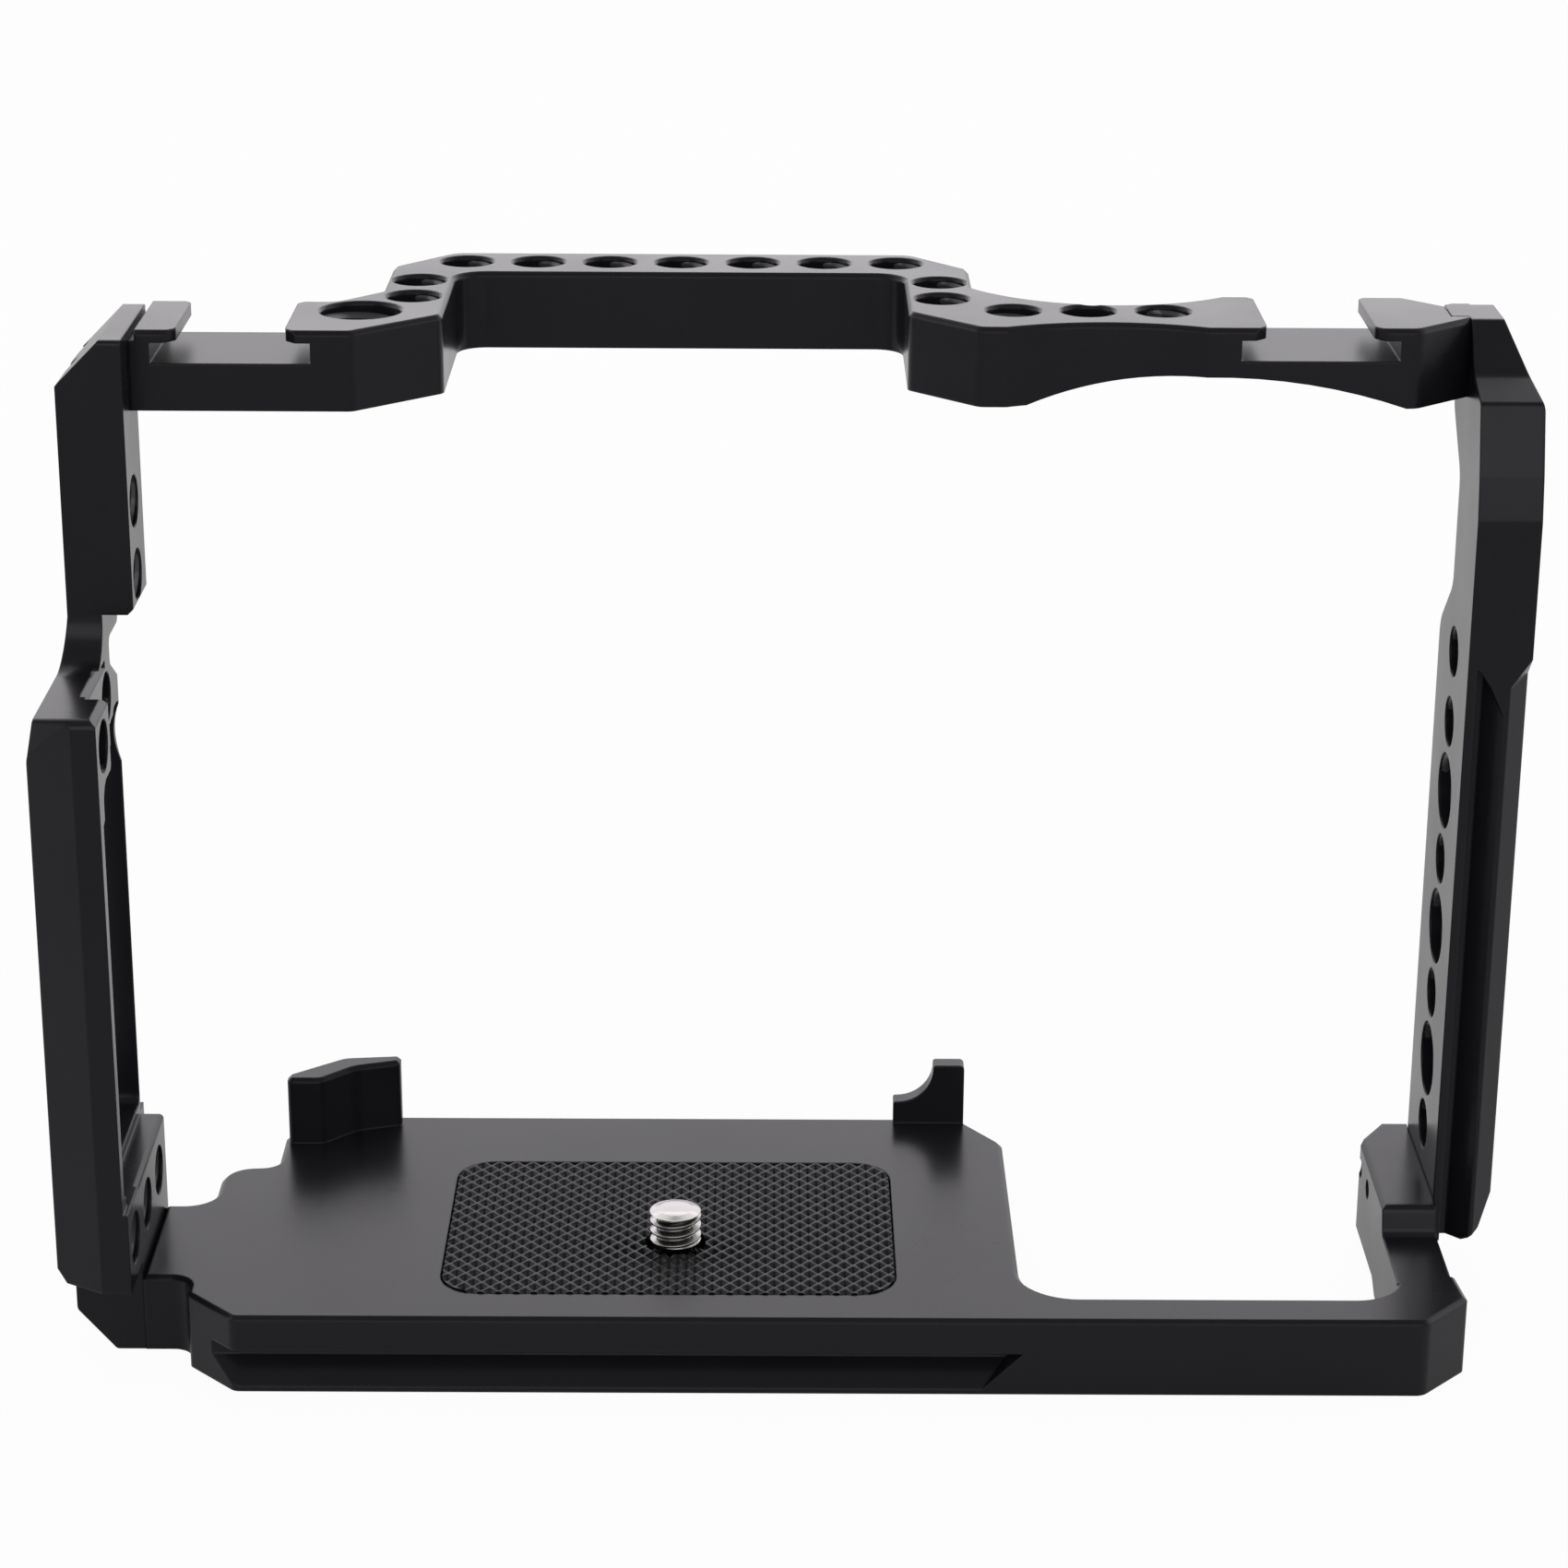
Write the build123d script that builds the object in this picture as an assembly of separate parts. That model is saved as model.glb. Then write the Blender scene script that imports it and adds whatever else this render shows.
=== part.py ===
"""Camera cage: a four-piece machined frame that bolts round a mirrorless camera.

Millimetres.  +X is the photographer's right, +Y points towards the lens, +Z is
up.  The datum is the axis of the captive camera screw at the camera seat, which
is the top face of the rubber pad.  Inside this file heights are counted from the
base plate's top face; the finished pieces are lowered by the pad's standing
height, so that the seat lies at Z = 0.
"""

from build123d import *
import os

# ----------------------------------------------------------------------------
# Driving dimensions
# ----------------------------------------------------------------------------

# Accessory threads, drawn at their major diameter
QUARTER_D = 6.35          # 1/4"-20 UNC
THREE_EIGHTHS_D = 9.525   # 3/8"-16 UNC
HOLE_PITCH = 9.0          # spacing of the accessory holes
HOLE_BREAK = 0.35         # chamfer at the upper mouth of a threaded hole
EDGE_BREAK = 0.5          # chamfer along the outer edges

# Overall frame
INNER_LEFT_X = -63.9      # inner face of the left arm's head
INNER_RIGHT_X = 94.84     # inner face of the right arm
TOP_Z = 112.9             # top face of the cage above the base plate
BAR_T = 9.6               # thickness of the top bar

# Base plate
PLATE_T = 9.9
PLATE_NEAR_Y = -20.7
PLATE_FAR_Y = 37.2
PLATE_FRONT_LEFT_X = -52.5
PLATE_LEFT_X = -58.6
TAB_HALF_W = 10.0         # the tab that bolts to the left arm's foot
TAB_R = 2.6
SHOULDER_Y = 20.9         # left shoulder between the tab and the lens stop
SHOULDER_R = 4.0
STOP_LEFT_X = -51.8
GRIP_BAR_Y = -14.65       # far edge of the narrow bar under the grip
DECK_RIGHT_X = 42.1       # right edge of the deck, left edge of the battery opening
GRIP_R = 7.0
END_X = 96.1
LUG_W = 6.74              # lug that bolts to the right arm
LUG_FAR_Y = 28.6
LUG_NEAR_Y = 3.5
LUG_CORNER = (3.8, 6.0)   # chamfer across the lug's far corner
LUG_TOP_Z = 3.6
LUG_LIFT = 1.5            # underside of the lug above the base

# Lens stops standing on the plate's far edge
STOP_H = 9.2
STOP_L_X = (-51.2, -37.0)
STOP_R_X = (28.0, 37.3)
STOP_R_H = 8.3
STOP_NEAR_Y = 35.6
STOP_FAR_Y = 38.0
STOP_LAND = 4.1           # flat top of the right stop beside its scoop

# Arca-style rail: 45 degree flanks under the deck
RAIL_W = 38.0             # width across the rail's lower edges
RAIL_H = 5.4              # height of the flank groove
RAIL_DEPTH = 3.0
RAIL_LIP = 0.6
RAIL_X = (-57.0, 42.0)

# Rubber pad let into the deck
PAD_W, PAD_D = 55.6, 37.4
PAD_R = 5.0
PAD_X, PAD_Y = -0.65, 4.4
PAD_POCKET = 1.5
PAD_PROUD = 0.2
PAD_GAP = 0.25
PAD_HOLE_D = 7.6

# Captive camera screw
SCREW_TIP_Z = 4.6         # above the plate's top face
SCREW_WEB = 2.0           # metal left between pad pocket and head recess
SCREW_TRAVEL = 1.9
NECK_D = 4.9
NECK_GAP = 0.15           # neck to the web's hole
WASHER_GAP = 0.05         # neck to washer, a running fit
WASHER_D, WASHER_T = 11.4, 0.5
HEAD_D, HEAD_H = 12.0, 2.6
HEAD_GAP = 0.6            # head to the wall of its recess
HEX_AF, HEX_DEPTH = 5.0, 1.8
SLOT_W, SLOT_DEPTH = 1.6, 1.1

# Tripod threads in the underside
TRIPOD_X = 16.0
TRIPOD_DEPTH = 6.4

# Top bar
HUMP_IN_X, HUMP_OUT_X = 27.8, 36.0
HUMP_NEAR_Y, HUMP_FAR_Y = 42.2, 53.9
HUMP_CORNER = 7.0
ROW_Y = 48.5              # long row of seven threads
WING_HOLE_X, WING_HOLE_Y = 32.05, 28.5
LEFT_BLOCK_NEAR_Y, LEFT_BLOCK_FAR_Y = 9.3, 25.5
LEFT_BLOCK_X = -37.9
BIG_HOLE = (-37.7, 20.6)
RIGHT_BLOCK_NEAR_Y, RIGHT_BLOCK_FAR_Y = 13.2, 30.6
WAIST_NEAR = (51.2, -12.3, 28.0)   # centre and radius of the near waist
WAIST_FAR = (53.0, 46.0, 20.2)     # centre and radius of the far waist
ROW3_X, ROW3_Y = 40.35, 22.3
ARCH_X, ARCH_RISE, ARCH_SPAN = 64.2, 3.7, 45.0

# Cold shoes, ISO 518
SHOE_SLOT_W = 18.8
SHOE_MOUTH_W = 12.8
SHOE_FLOOR = 3.9          # floor below the top face
SHOE_LIP = 1.45
SHOE_LEFT_X, SHOE_RIGHT_X = -52.0, 76.3
SHOE_FLARE = 1.3          # rounding of the lips' corners
END_GROOVE = (0.8, 1.2)   # groove between the left arm and the shoe's lip

# Left arm
L_NEAR_Y = 4.0
L_HEAD_FAR_Y = 23.8
L_STEM_FAR_Y = 14.4
L_STEM_T = 7.85           # thickness of head and stem
L_HEAD_BEVEL = (5.3, 5.4)
L_STEM_H = 23.5           # length of the thick stem below the bar
L_WEB_SET = 3.75          # inner face of the lower web, behind the head's
L_NECK_FAR_Y = 7.6
L_NECK_DROP = (7.2, 3.9)  # the neck's straight far side, below the stem
L_SHELF_DROP = 5.8        # stem to the shelf, where the blade steps outwards
L_BLADE_NEAR_Y = -18.2
L_BLADE_FAR_Y = 14.8
L_BLADE_T = 8.8           # thickness of the blade at the near post
L_BLADE_SET = 1.3         # the near post's inner face, behind the head's
L_BLADE_BASE_Z = 1.7
L_LEAN_X = 1.6            # how far the blade's outer face leans in at the shelf
L_LEAN_DROP = (6.0, 0.2)  # the lean starts below the shelf and ends below the stem
L_POST = 1.9              # inner lip of the near post beside the port window
L_POST_LEAN = 5.4         # the post's far side runs parallel to the facet
L_FAR_POST = 2.8
L_BOSS_FAR_Y = -9.3
L_BOSS_H = 8.7            # height of the boss below the shelf
L_SILL = 1.2              # the window's sill above the foot
L_WINDOW_DROP = (10.8, 7.2)   # window's top and far corner below the shelf
L_SCOOP = (11.6, 9.5, 0.75)   # drop below the shelf, radius and depth of the scoop
L_FACET = (5.9, 3.6)
L_HORN = (5.5, 0.4)       # fall of the horn's lower edge; set-back of its upper edge
L_SHELF_BREAK = 0.8
L_BLIND_WALL = 3.9        # wall left behind the holes that would cut the facet
FOOT_SET = 0.7            # the foot's inner face, behind the head's
FOOT_T = 8.2
FOOT_TOP_Z = 12.0
FOOT_FAR_Y = 11.2
FOOT_NEAR_Y = -9.9
FOOT_BEVEL = (4.6, 5.4)
FOOT_HOLE_Y, FOOT_HOLE_Z, FOOT_HOLE_PITCH = -3.9, 6.9, 9.5
STEM_HOLE_Y, STEM_HOLE_RISE = 8.3, 3.8   # lowest hole above the stem's underside
WEB_HOLE_Y, BOSS_HOLE_Y = 4.0, -13.6
SHELF_HOLE_DROP = 4.5     # web and boss holes below the shelf

# Right arm
R_NEAR_Y, R_FAR_Y = 6.2, 27.2
R_OUT_X = 102.5
R_BASE_Z = -2.6
R_WAIST_FAR_Y = 20.0
R_WAIST_DROP = (23.8, 9.8)   # ends of the waist below the bar
R_HEAD_NEAR_Y = 18.8
R_HOLE_Y, R_HOLE_Z, R_HOLES = 16.5, 72.1, 8
R_BIG_HOLES = (2, 4, 6)
R_LEAN = (3.8, 8.4)
NATO_BEVEL = 2.45         # 45 degree flanks of the accessory rail
NATO_LAND = 0.5           # flat between bevel and groove
NATO_TOP_DROP = (12.1, 6.5)   # groove's top at its outer and inner edge, below the waist
NATO_RUNOUT_DROP = 5.1    # where the bevel runs out of the outer corner
NATO_LIP = 1.1
KEY_W, KEY_NEAR_Y = 2.1, 20.4
KEY_GAP = 0.2

# Socket screws of the four joints
M25_D, M25_HEAD_D, M25_HEAD_H, M25_HEX = 2.5, 4.2, 2.2, 2.0
M3_D, M3_HEAD_D, M3_HEAD_H, M3_HEX = 3.0, 5.2, 2.4, 2.0
M4_D, M4_HEAD_D, M4_HEAD_H, M4_HEX = 4.0, 7.0, 2.6, 2.5
BOLT_GAP = 0.05           # thread to its hole
HEAD_RING = 0.15          # head to its recess
TOP_LEFT_BOLTS = (13.0, 21.5)
TOP_LEFT_BOLT_RISE = 2.7  # bolt axes above the bar's underside
TOP_RIGHT_BOLT_Y, TOP_RIGHT_BOLT_RISE = 22.9, 3.1
FOOT_BOLTS = (-5.0, 5.0)
FOOT_BOLT_Z = -4.4
LUG_BOLTS = (15.5, 21.8)
LUG_BOLT_Z = 0.2
BOLT_REACH = 7.0          # thread engaged past the seam
BOLT_WALL = 3.4           # metal under a joint screw's head
TOP_RIGHT_WALL = 2.2      # the same under the head at the top right

BAR_Z = TOP_Z - BAR_T
PLATE_Z = -PLATE_T
PAD_BED_Z = -PAD_POCKET
WEB_Z = PAD_BED_Z - SCREW_WEB
STOP_SCOOP_R = STOP_R_X[1] - STOP_R_X[0] - STOP_LAND
TOP_LEFT_BOLT_Z = BAR_Z + TOP_LEFT_BOLT_RISE
TOP_RIGHT_BOLT = (TOP_RIGHT_BOLT_Y, BAR_Z + TOP_RIGHT_BOLT_RISE)
L_OUT_X = INNER_LEFT_X - L_STEM_T
L_STEM_Z = BAR_Z - L_STEM_H
L_NECK_Z = tuple(L_STEM_Z - drop for drop in L_NECK_DROP)
L_SHELF_Z = L_STEM_Z - L_SHELF_DROP
L_BOSS_Z = L_SHELF_Z - L_BOSS_H
L_WEB_X = INNER_LEFT_X - L_WEB_SET
L_BLADE_IN_X = INNER_LEFT_X - L_BLADE_SET
L_BLADE_OUT_X = L_BLADE_IN_X - L_BLADE_T
L_BLIND_X = L_BLADE_OUT_X + L_BLIND_WALL
FOOT_X = INNER_LEFT_X - FOOT_SET
FOOT_OUT_X = FOOT_X - FOOT_T
SHELF_HOLE_Z = L_SHELF_Z - SHELF_HOLE_DROP
R_WAIST_Z = tuple(BAR_Z - drop for drop in R_WAIST_DROP)
NATO_TOP_Z = tuple(R_WAIST_Z[0] - drop for drop in NATO_TOP_DROP)
NATO_RUNOUT_Z = R_WAIST_Z[0] - NATO_RUNOUT_DROP


# ----------------------------------------------------------------------------
# Helpers
# ----------------------------------------------------------------------------

def outline(corners):
    """Closed outline through (u, v, corner radius) points."""
    points = [(u, v) for u, v, _ in corners]
    radii = [r for _, _, r in corners]
    return make_face(FilletPolyline(*points, radius=radii, close=True))


def along_z(corners, low, high):
    """Prism with its outline in plan, between two heights."""
    return extrude(Plane.XY.offset(low) * outline(corners), amount=high - low)


def along_x(corners, low, high):
    """Prism with its outline in side view (y, z), between two x values."""
    return extrude(Plane.YZ.offset(low) * outline(corners), amount=high - low)


def along_y(corners, low, high):
    """Prism with its outline in front view (x, z), between two y values."""
    front = Plane(origin=(0, low, 0), x_dir=(1, 0, 0), z_dir=(0, -1, 0))
    return extrude(front * outline(corners), amount=low - high)


def block(x, y, z):
    """Box between (low, high) pairs."""
    return Pos(x[0], y[0], z[0]) * Box(
        x[1] - x[0], y[1] - y[0], z[1] - z[0], align=(Align.MIN,) * 3)


def rod(start, direction, radius, length):
    """Round bar from a point along +X, +Y or +Z."""
    turn = {"x": Rot(0, 90, 0), "y": Rot(-90, 0, 0), "z": Rot(0, 0, 0)}[direction]
    return Pos(*start) * turn * Cylinder(
        radius, length, align=(Align.CENTER, Align.CENTER, Align.MIN))


def thread_hole(start, direction, diameter, length, broken=(False, False)):
    """Cutter for a threaded hole; either mouth can be broken by a small chamfer."""
    reach = diameter / 2 + HOLE_BREAK
    turn = {"x": Rot(0, 90, 0), "y": Rot(-90, 0, 0), "z": Rot(0, 0, 0)}[direction]
    base = (Align.CENTER, Align.CENTER, Align.MIN)
    cutter = Cylinder(diameter / 2, length, align=base)
    if broken[0]:
        cutter += Cone(reach, diameter / 2, HOLE_BREAK, align=base)
    if broken[1]:
        cutter += Pos(0, 0, length - HOLE_BREAK) * Cone(
            diameter / 2, reach, HOLE_BREAK, align=base)
    return Pos(*start) * turn * cutter


def half_space(point, normal):
    """Large block on the side of a plane that the normal points to."""
    return extrude(Plane(origin=point, z_dir=normal) * Rectangle(400, 400), amount=200)


def break_edges(solid, height, amount, keep=lambda edge: True):
    """Chamfer the edges that lie in one horizontal plane."""
    flat = [e for e in solid.edges()
            if abs(e.bounding_box().min.Z - height) < 1e-4
            and abs(e.bounding_box().max.Z - height) < 1e-4 and keep(e)]
    return chamfer(flat, amount)


def socket_screw(head_x, seat_x, tip_x, y, z, d, head_d, hex_af):
    """Socket cap screw along X, its head at head_x and its tip at tip_x."""
    low, high = min(seat_x, tip_x), max(seat_x, tip_x)
    shank = rod((low, y, z), "x", d / 2, high - low)
    head_low, head_high = min(head_x, seat_x), max(head_x, seat_x)
    head = rod((head_low, y, z), "x", head_d / 2, head_high - head_low)
    depth = 0.6 * (head_high - head_low)
    mouth = head_x if head_x < seat_x else head_x - depth
    hexagon = extrude(Plane.YZ.offset(mouth) * Pos(y, z) * RegularPolygon(
        hex_af / 2, 6, major_radius=False), amount=depth)
    return shank + head - hexagon


def screw_recess(face_x, seat_x, thread_x, y, z, d, head_d):
    """Cutter for a joint screw: head recess, clearance and thread along X."""
    low, high = min(face_x, seat_x), max(face_x, seat_x)
    recess = rod((low, y, z), "x", head_d / 2 + HEAD_RING, high - low)
    low, high = min(seat_x, thread_x), max(seat_x, thread_x)
    return recess + rod((low, y, z), "x", d / 2 + BOLT_GAP, high - low)


# ----------------------------------------------------------------------------
# Base plate
# ----------------------------------------------------------------------------

def base_plate():
    lug_x = INNER_RIGHT_X - LUG_W
    plan = [
        (PLATE_FRONT_LEFT_X, PLATE_NEAR_Y, 1.5),
        (END_X - 5.9, PLATE_NEAR_Y, 2.0),
        (END_X, PLATE_NEAR_Y + 6.3, 1.0),
        (END_X - 0.6, GRIP_BAR_Y + 6.4, 0.0),
        (lug_x, GRIP_BAR_Y + 6.4, 0.0),
        (lug_x, GRIP_BAR_Y, 5.6),
        (DECK_RIGHT_X, GRIP_BAR_Y, GRIP_R),
        (DECK_RIGHT_X, PLATE_FAR_Y - 7.6, 2.5),
        (STOP_R_X[1] - 0.6, PLATE_FAR_Y, 0.8),
        (STOP_L_X[1] - 7.9, PLATE_FAR_Y, 4.0),
        (STOP_LEFT_X, PLATE_FAR_Y - 6.3, 1.2),
        (STOP_LEFT_X, SHOULDER_Y + 0.6, 2.2),
        (PLATE_LEFT_X, SHOULDER_Y, SHOULDER_R),
        (PLATE_LEFT_X, TAB_HALF_W, 3.8),
        (FOOT_X, TAB_HALF_W, 0.0),
        (FOOT_X, -TAB_HALF_W, 0.0),
        (PLATE_LEFT_X, -TAB_HALF_W, TAB_R),
        (PLATE_LEFT_X, PLATE_NEAR_Y + 6.3, 1.2),
    ]
    plate = along_z(plan, PLATE_Z, 0)
    plate = break_edges(plate, 0, EDGE_BREAK)

    # The lug rises from the end of the grip bar and lies against the right arm
    lug_side = [
        (GRIP_BAR_Y + 4.0, PLATE_Z, 0.0),
        (GRIP_BAR_Y + 4.0, 0.0, 0.0),
        (LUG_NEAR_Y - 1.1, 0.0, 1.2),
        (LUG_NEAR_Y, LUG_TOP_Z, 1.0),
        (LUG_FAR_Y, LUG_TOP_Z, 0.5),
        (LUG_FAR_Y, PLATE_Z + LUG_LIFT, 1.0),
        (LUG_NEAR_Y + 4.6, PLATE_Z + LUG_LIFT, 2.0),
        (LUG_NEAR_Y + 2.0, PLATE_Z, 0.5),
    ]
    lug = along_x(lug_side, lug_x, INNER_RIGHT_X)
    across, along = LUG_CORNER
    lug -= along_z([(lug_x, LUG_FAR_Y - along, 0), (lug_x + across, LUG_FAR_Y, 0),
                    (lug_x + across, LUG_FAR_Y + 1, 0), (lug_x - 1, LUG_FAR_Y + 1, 0),
                    (lug_x - 1, LUG_FAR_Y - along, 0)], PLATE_Z - 1, LUG_TOP_Z + 1)
    lug -= along_y([(lug_x, LUG_TOP_Z - EDGE_BREAK, 0), (lug_x + EDGE_BREAK, LUG_TOP_Z, 0),
                    (lug_x + EDGE_BREAK, LUG_TOP_Z + 1, 0), (lug_x - 1, LUG_TOP_Z + 1, 0),
                    (lug_x - 1, LUG_TOP_Z - EDGE_BREAK, 0)], LUG_NEAR_Y - 0.5, LUG_FAR_Y + 1)
    plate += lug

    # Lens stops: a swept wedge on the left, a scooped post on the right
    left_plan = [
        (STOP_L_X[0], PLATE_FAR_Y - 8.8, 0.6),
        (STOP_L_X[0] + 4.4, PLATE_FAR_Y - 8.8, 1.5),
        (STOP_L_X[0] + 8.4, STOP_NEAR_Y - 3.2, 4.0),
        (STOP_L_X[1], STOP_NEAR_Y - 1.3, 0.6),
        (STOP_L_X[1], PLATE_FAR_Y - 0.7, 0.6),
        (STOP_L_X[1] - 7.5, PLATE_FAR_Y - 1.5, 3.0),
        (STOP_L_X[0], PLATE_FAR_Y - 7.0, 0.6),
    ]
    left_stop = break_edges(along_z(left_plan, -1.0, STOP_H), STOP_H, 0.5)
    right_front = [
        (STOP_R_X[0], -3.0, 0), (STOP_R_X[1], -3.0, 0),
        (STOP_R_X[1], STOP_R_H, 0.6), (STOP_R_X[0] + STOP_SCOOP_R, STOP_R_H, 0.4),
        (STOP_R_X[0] + STOP_SCOOP_R, STOP_R_H - STOP_SCOOP_R, STOP_SCOOP_R - 0.5),
        (STOP_R_X[0], STOP_R_H - STOP_SCOOP_R, 0.3),
    ]
    right_stop = along_y(right_front, STOP_NEAR_Y, STOP_FAR_Y)
    plate += left_stop + right_stop

    # Rail flanks: a groove along the near face and a slot under the deck
    near = PLATE_NEAR_Y
    flank = [(near - 1, PLATE_Z + RAIL_LIP, 0), (near, PLATE_Z + RAIL_LIP, 0),
             (near + RAIL_DEPTH, PLATE_Z + RAIL_LIP + RAIL_DEPTH, 0.3),
             (near + RAIL_DEPTH, PLATE_Z + RAIL_H, 0.3), (near - 1, PLATE_Z + RAIL_H, 0)]
    groove = along_x(flank, RAIL_X[0] - 3, RAIL_X[1])
    groove -= along_y([(RAIL_X[1] + 0.2, PLATE_Z + RAIL_H + 0.1, 0),
                       (RAIL_X[1] + 0.2, PLATE_Z, 0),
                       (RAIL_X[1] - RAIL_H, PLATE_Z, 0)], near - 2, near + RAIL_DEPTH + 1)
    far = near + RAIL_W
    slot = along_x([(far, PLATE_Z - 1, 0), (far, PLATE_Z + RAIL_LIP, 0),
                    (far - RAIL_DEPTH, PLATE_Z + RAIL_LIP + RAIL_DEPTH, 0.3),
                    (far - RAIL_DEPTH, PLATE_Z + RAIL_H, 0.3),
                    (far + RAIL_DEPTH, PLATE_Z + RAIL_H, 0.3),
                    (far + RAIL_DEPTH, PLATE_Z - 1, 0)], RAIL_X[0], RAIL_X[1] + 2)
    plate -= groove + slot

    # Pocket for the pad, recess and hole for the captive screw, tripod threads
    pocket = Pos(PAD_X, PAD_Y, PAD_BED_Z) * extrude(
        RectangleRounded(PAD_W, PAD_D, PAD_R), amount=PAD_POCKET + 1)
    recess_h = WEB_Z - PLATE_Z
    plate -= pocket
    plate -= rod((0, 0, PLATE_Z - 1), "z", HEAD_D / 2 + HEAD_GAP, recess_h + 1)
    plate -= rod((0, 0, WEB_Z - 1), "z", NECK_D / 2 + NECK_GAP, SCREW_WEB + 2)
    plate -= thread_hole((-TRIPOD_X, 0, PLATE_Z), "z", QUARTER_D, TRIPOD_DEPTH)
    plate -= thread_hole((TRIPOD_X, 0, PLATE_Z), "z", THREE_EIGHTHS_D, TRIPOD_DEPTH)

    # Threads for the joint screws; the lug's two run through to its inner side
    for y in FOOT_BOLTS:
        plate -= rod((FOOT_X - 1, y, FOOT_BOLT_Z), "x", M3_D / 2 + BOLT_GAP, BOLT_REACH + 2)
    for y in LUG_BOLTS:
        plate -= rod((lug_x - 1, y, LUG_BOLT_Z), "x", M25_D / 2 + BOLT_GAP, LUG_W + 2)
    return plate


def base_pad():
    pad = extrude(RectangleRounded(PAD_W - 2 * PAD_GAP, PAD_D - 2 * PAD_GAP,
                                   PAD_R - PAD_GAP),
                  amount=PAD_POCKET + PAD_PROUD)
    pad = Pos(PAD_X, PAD_Y, PAD_BED_Z) * pad
    return pad - rod((0, 0, PAD_BED_Z - 1), "z", PAD_HOLE_D / 2, PAD_POCKET + 3)


# ----------------------------------------------------------------------------
# Captive screw
# ----------------------------------------------------------------------------

def camera_screw():
    shoulder_z = PAD_BED_Z + SCREW_TRAVEL + 0.1
    head_top = WEB_Z - WASHER_T
    shank = rod((0, 0, shoulder_z), "z", QUARTER_D / 2, SCREW_TIP_Z - shoulder_z)
    shank = break_edges(shank, SCREW_TIP_Z, 0.8)
    neck = rod((0, 0, head_top - 0.1), "z", NECK_D / 2, shoulder_z - head_top + 0.2)
    head = rod((0, 0, head_top - HEAD_H), "z", HEAD_D / 2, HEAD_H)
    head = break_edges(head, head_top - HEAD_H, 0.5)
    socket = extrude(Plane.XY.offset(head_top - HEAD_H) * RegularPolygon(
        HEX_AF / 2, 6, major_radius=False), amount=HEX_DEPTH)
    slot = block((-HEAD_D, HEAD_D), (-SLOT_W / 2, SLOT_W / 2),
                 (head_top - HEAD_H - 1, head_top - HEAD_H + SLOT_DEPTH))
    return shank + neck + head - socket - slot


def screw_washer():
    ring = rod((0, 0, WEB_Z - WASHER_T), "z", WASHER_D / 2, WASHER_T)
    return ring - rod((0, 0, WEB_Z - 2), "z", NECK_D / 2 + WASHER_GAP, 4)


# ----------------------------------------------------------------------------
# Top bar
# ----------------------------------------------------------------------------

def shoe_cut(x, low_y, high_y):
    """T-shaped slot of a cold shoe through a block between two y values."""
    half, flare = SHOE_MOUTH_W / 2, SHOE_FLARE
    side = [(half + flare, low_y - 1, 0), (half + flare, low_y, 0),
            (half, low_y + flare, flare), (half, high_y - flare, flare),
            (half + flare, high_y, 0), (half + flare, high_y + 1, 0)]
    mouth_plan = [(x + u, v, r) for u, v, r in side]
    mouth_plan += [(x - u, v, r) for u, v, r in reversed(side)]
    mouth = along_z(mouth_plan, TOP_Z - SHOE_LIP - 0.5, TOP_Z + 1)
    wide = block((x - SHOE_SLOT_W / 2, x + SHOE_SLOT_W / 2), (low_y - 1, high_y + 1),
                 (TOP_Z - SHOE_FLOOR, TOP_Z - SHOE_LIP))
    return mouth + wide


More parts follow.
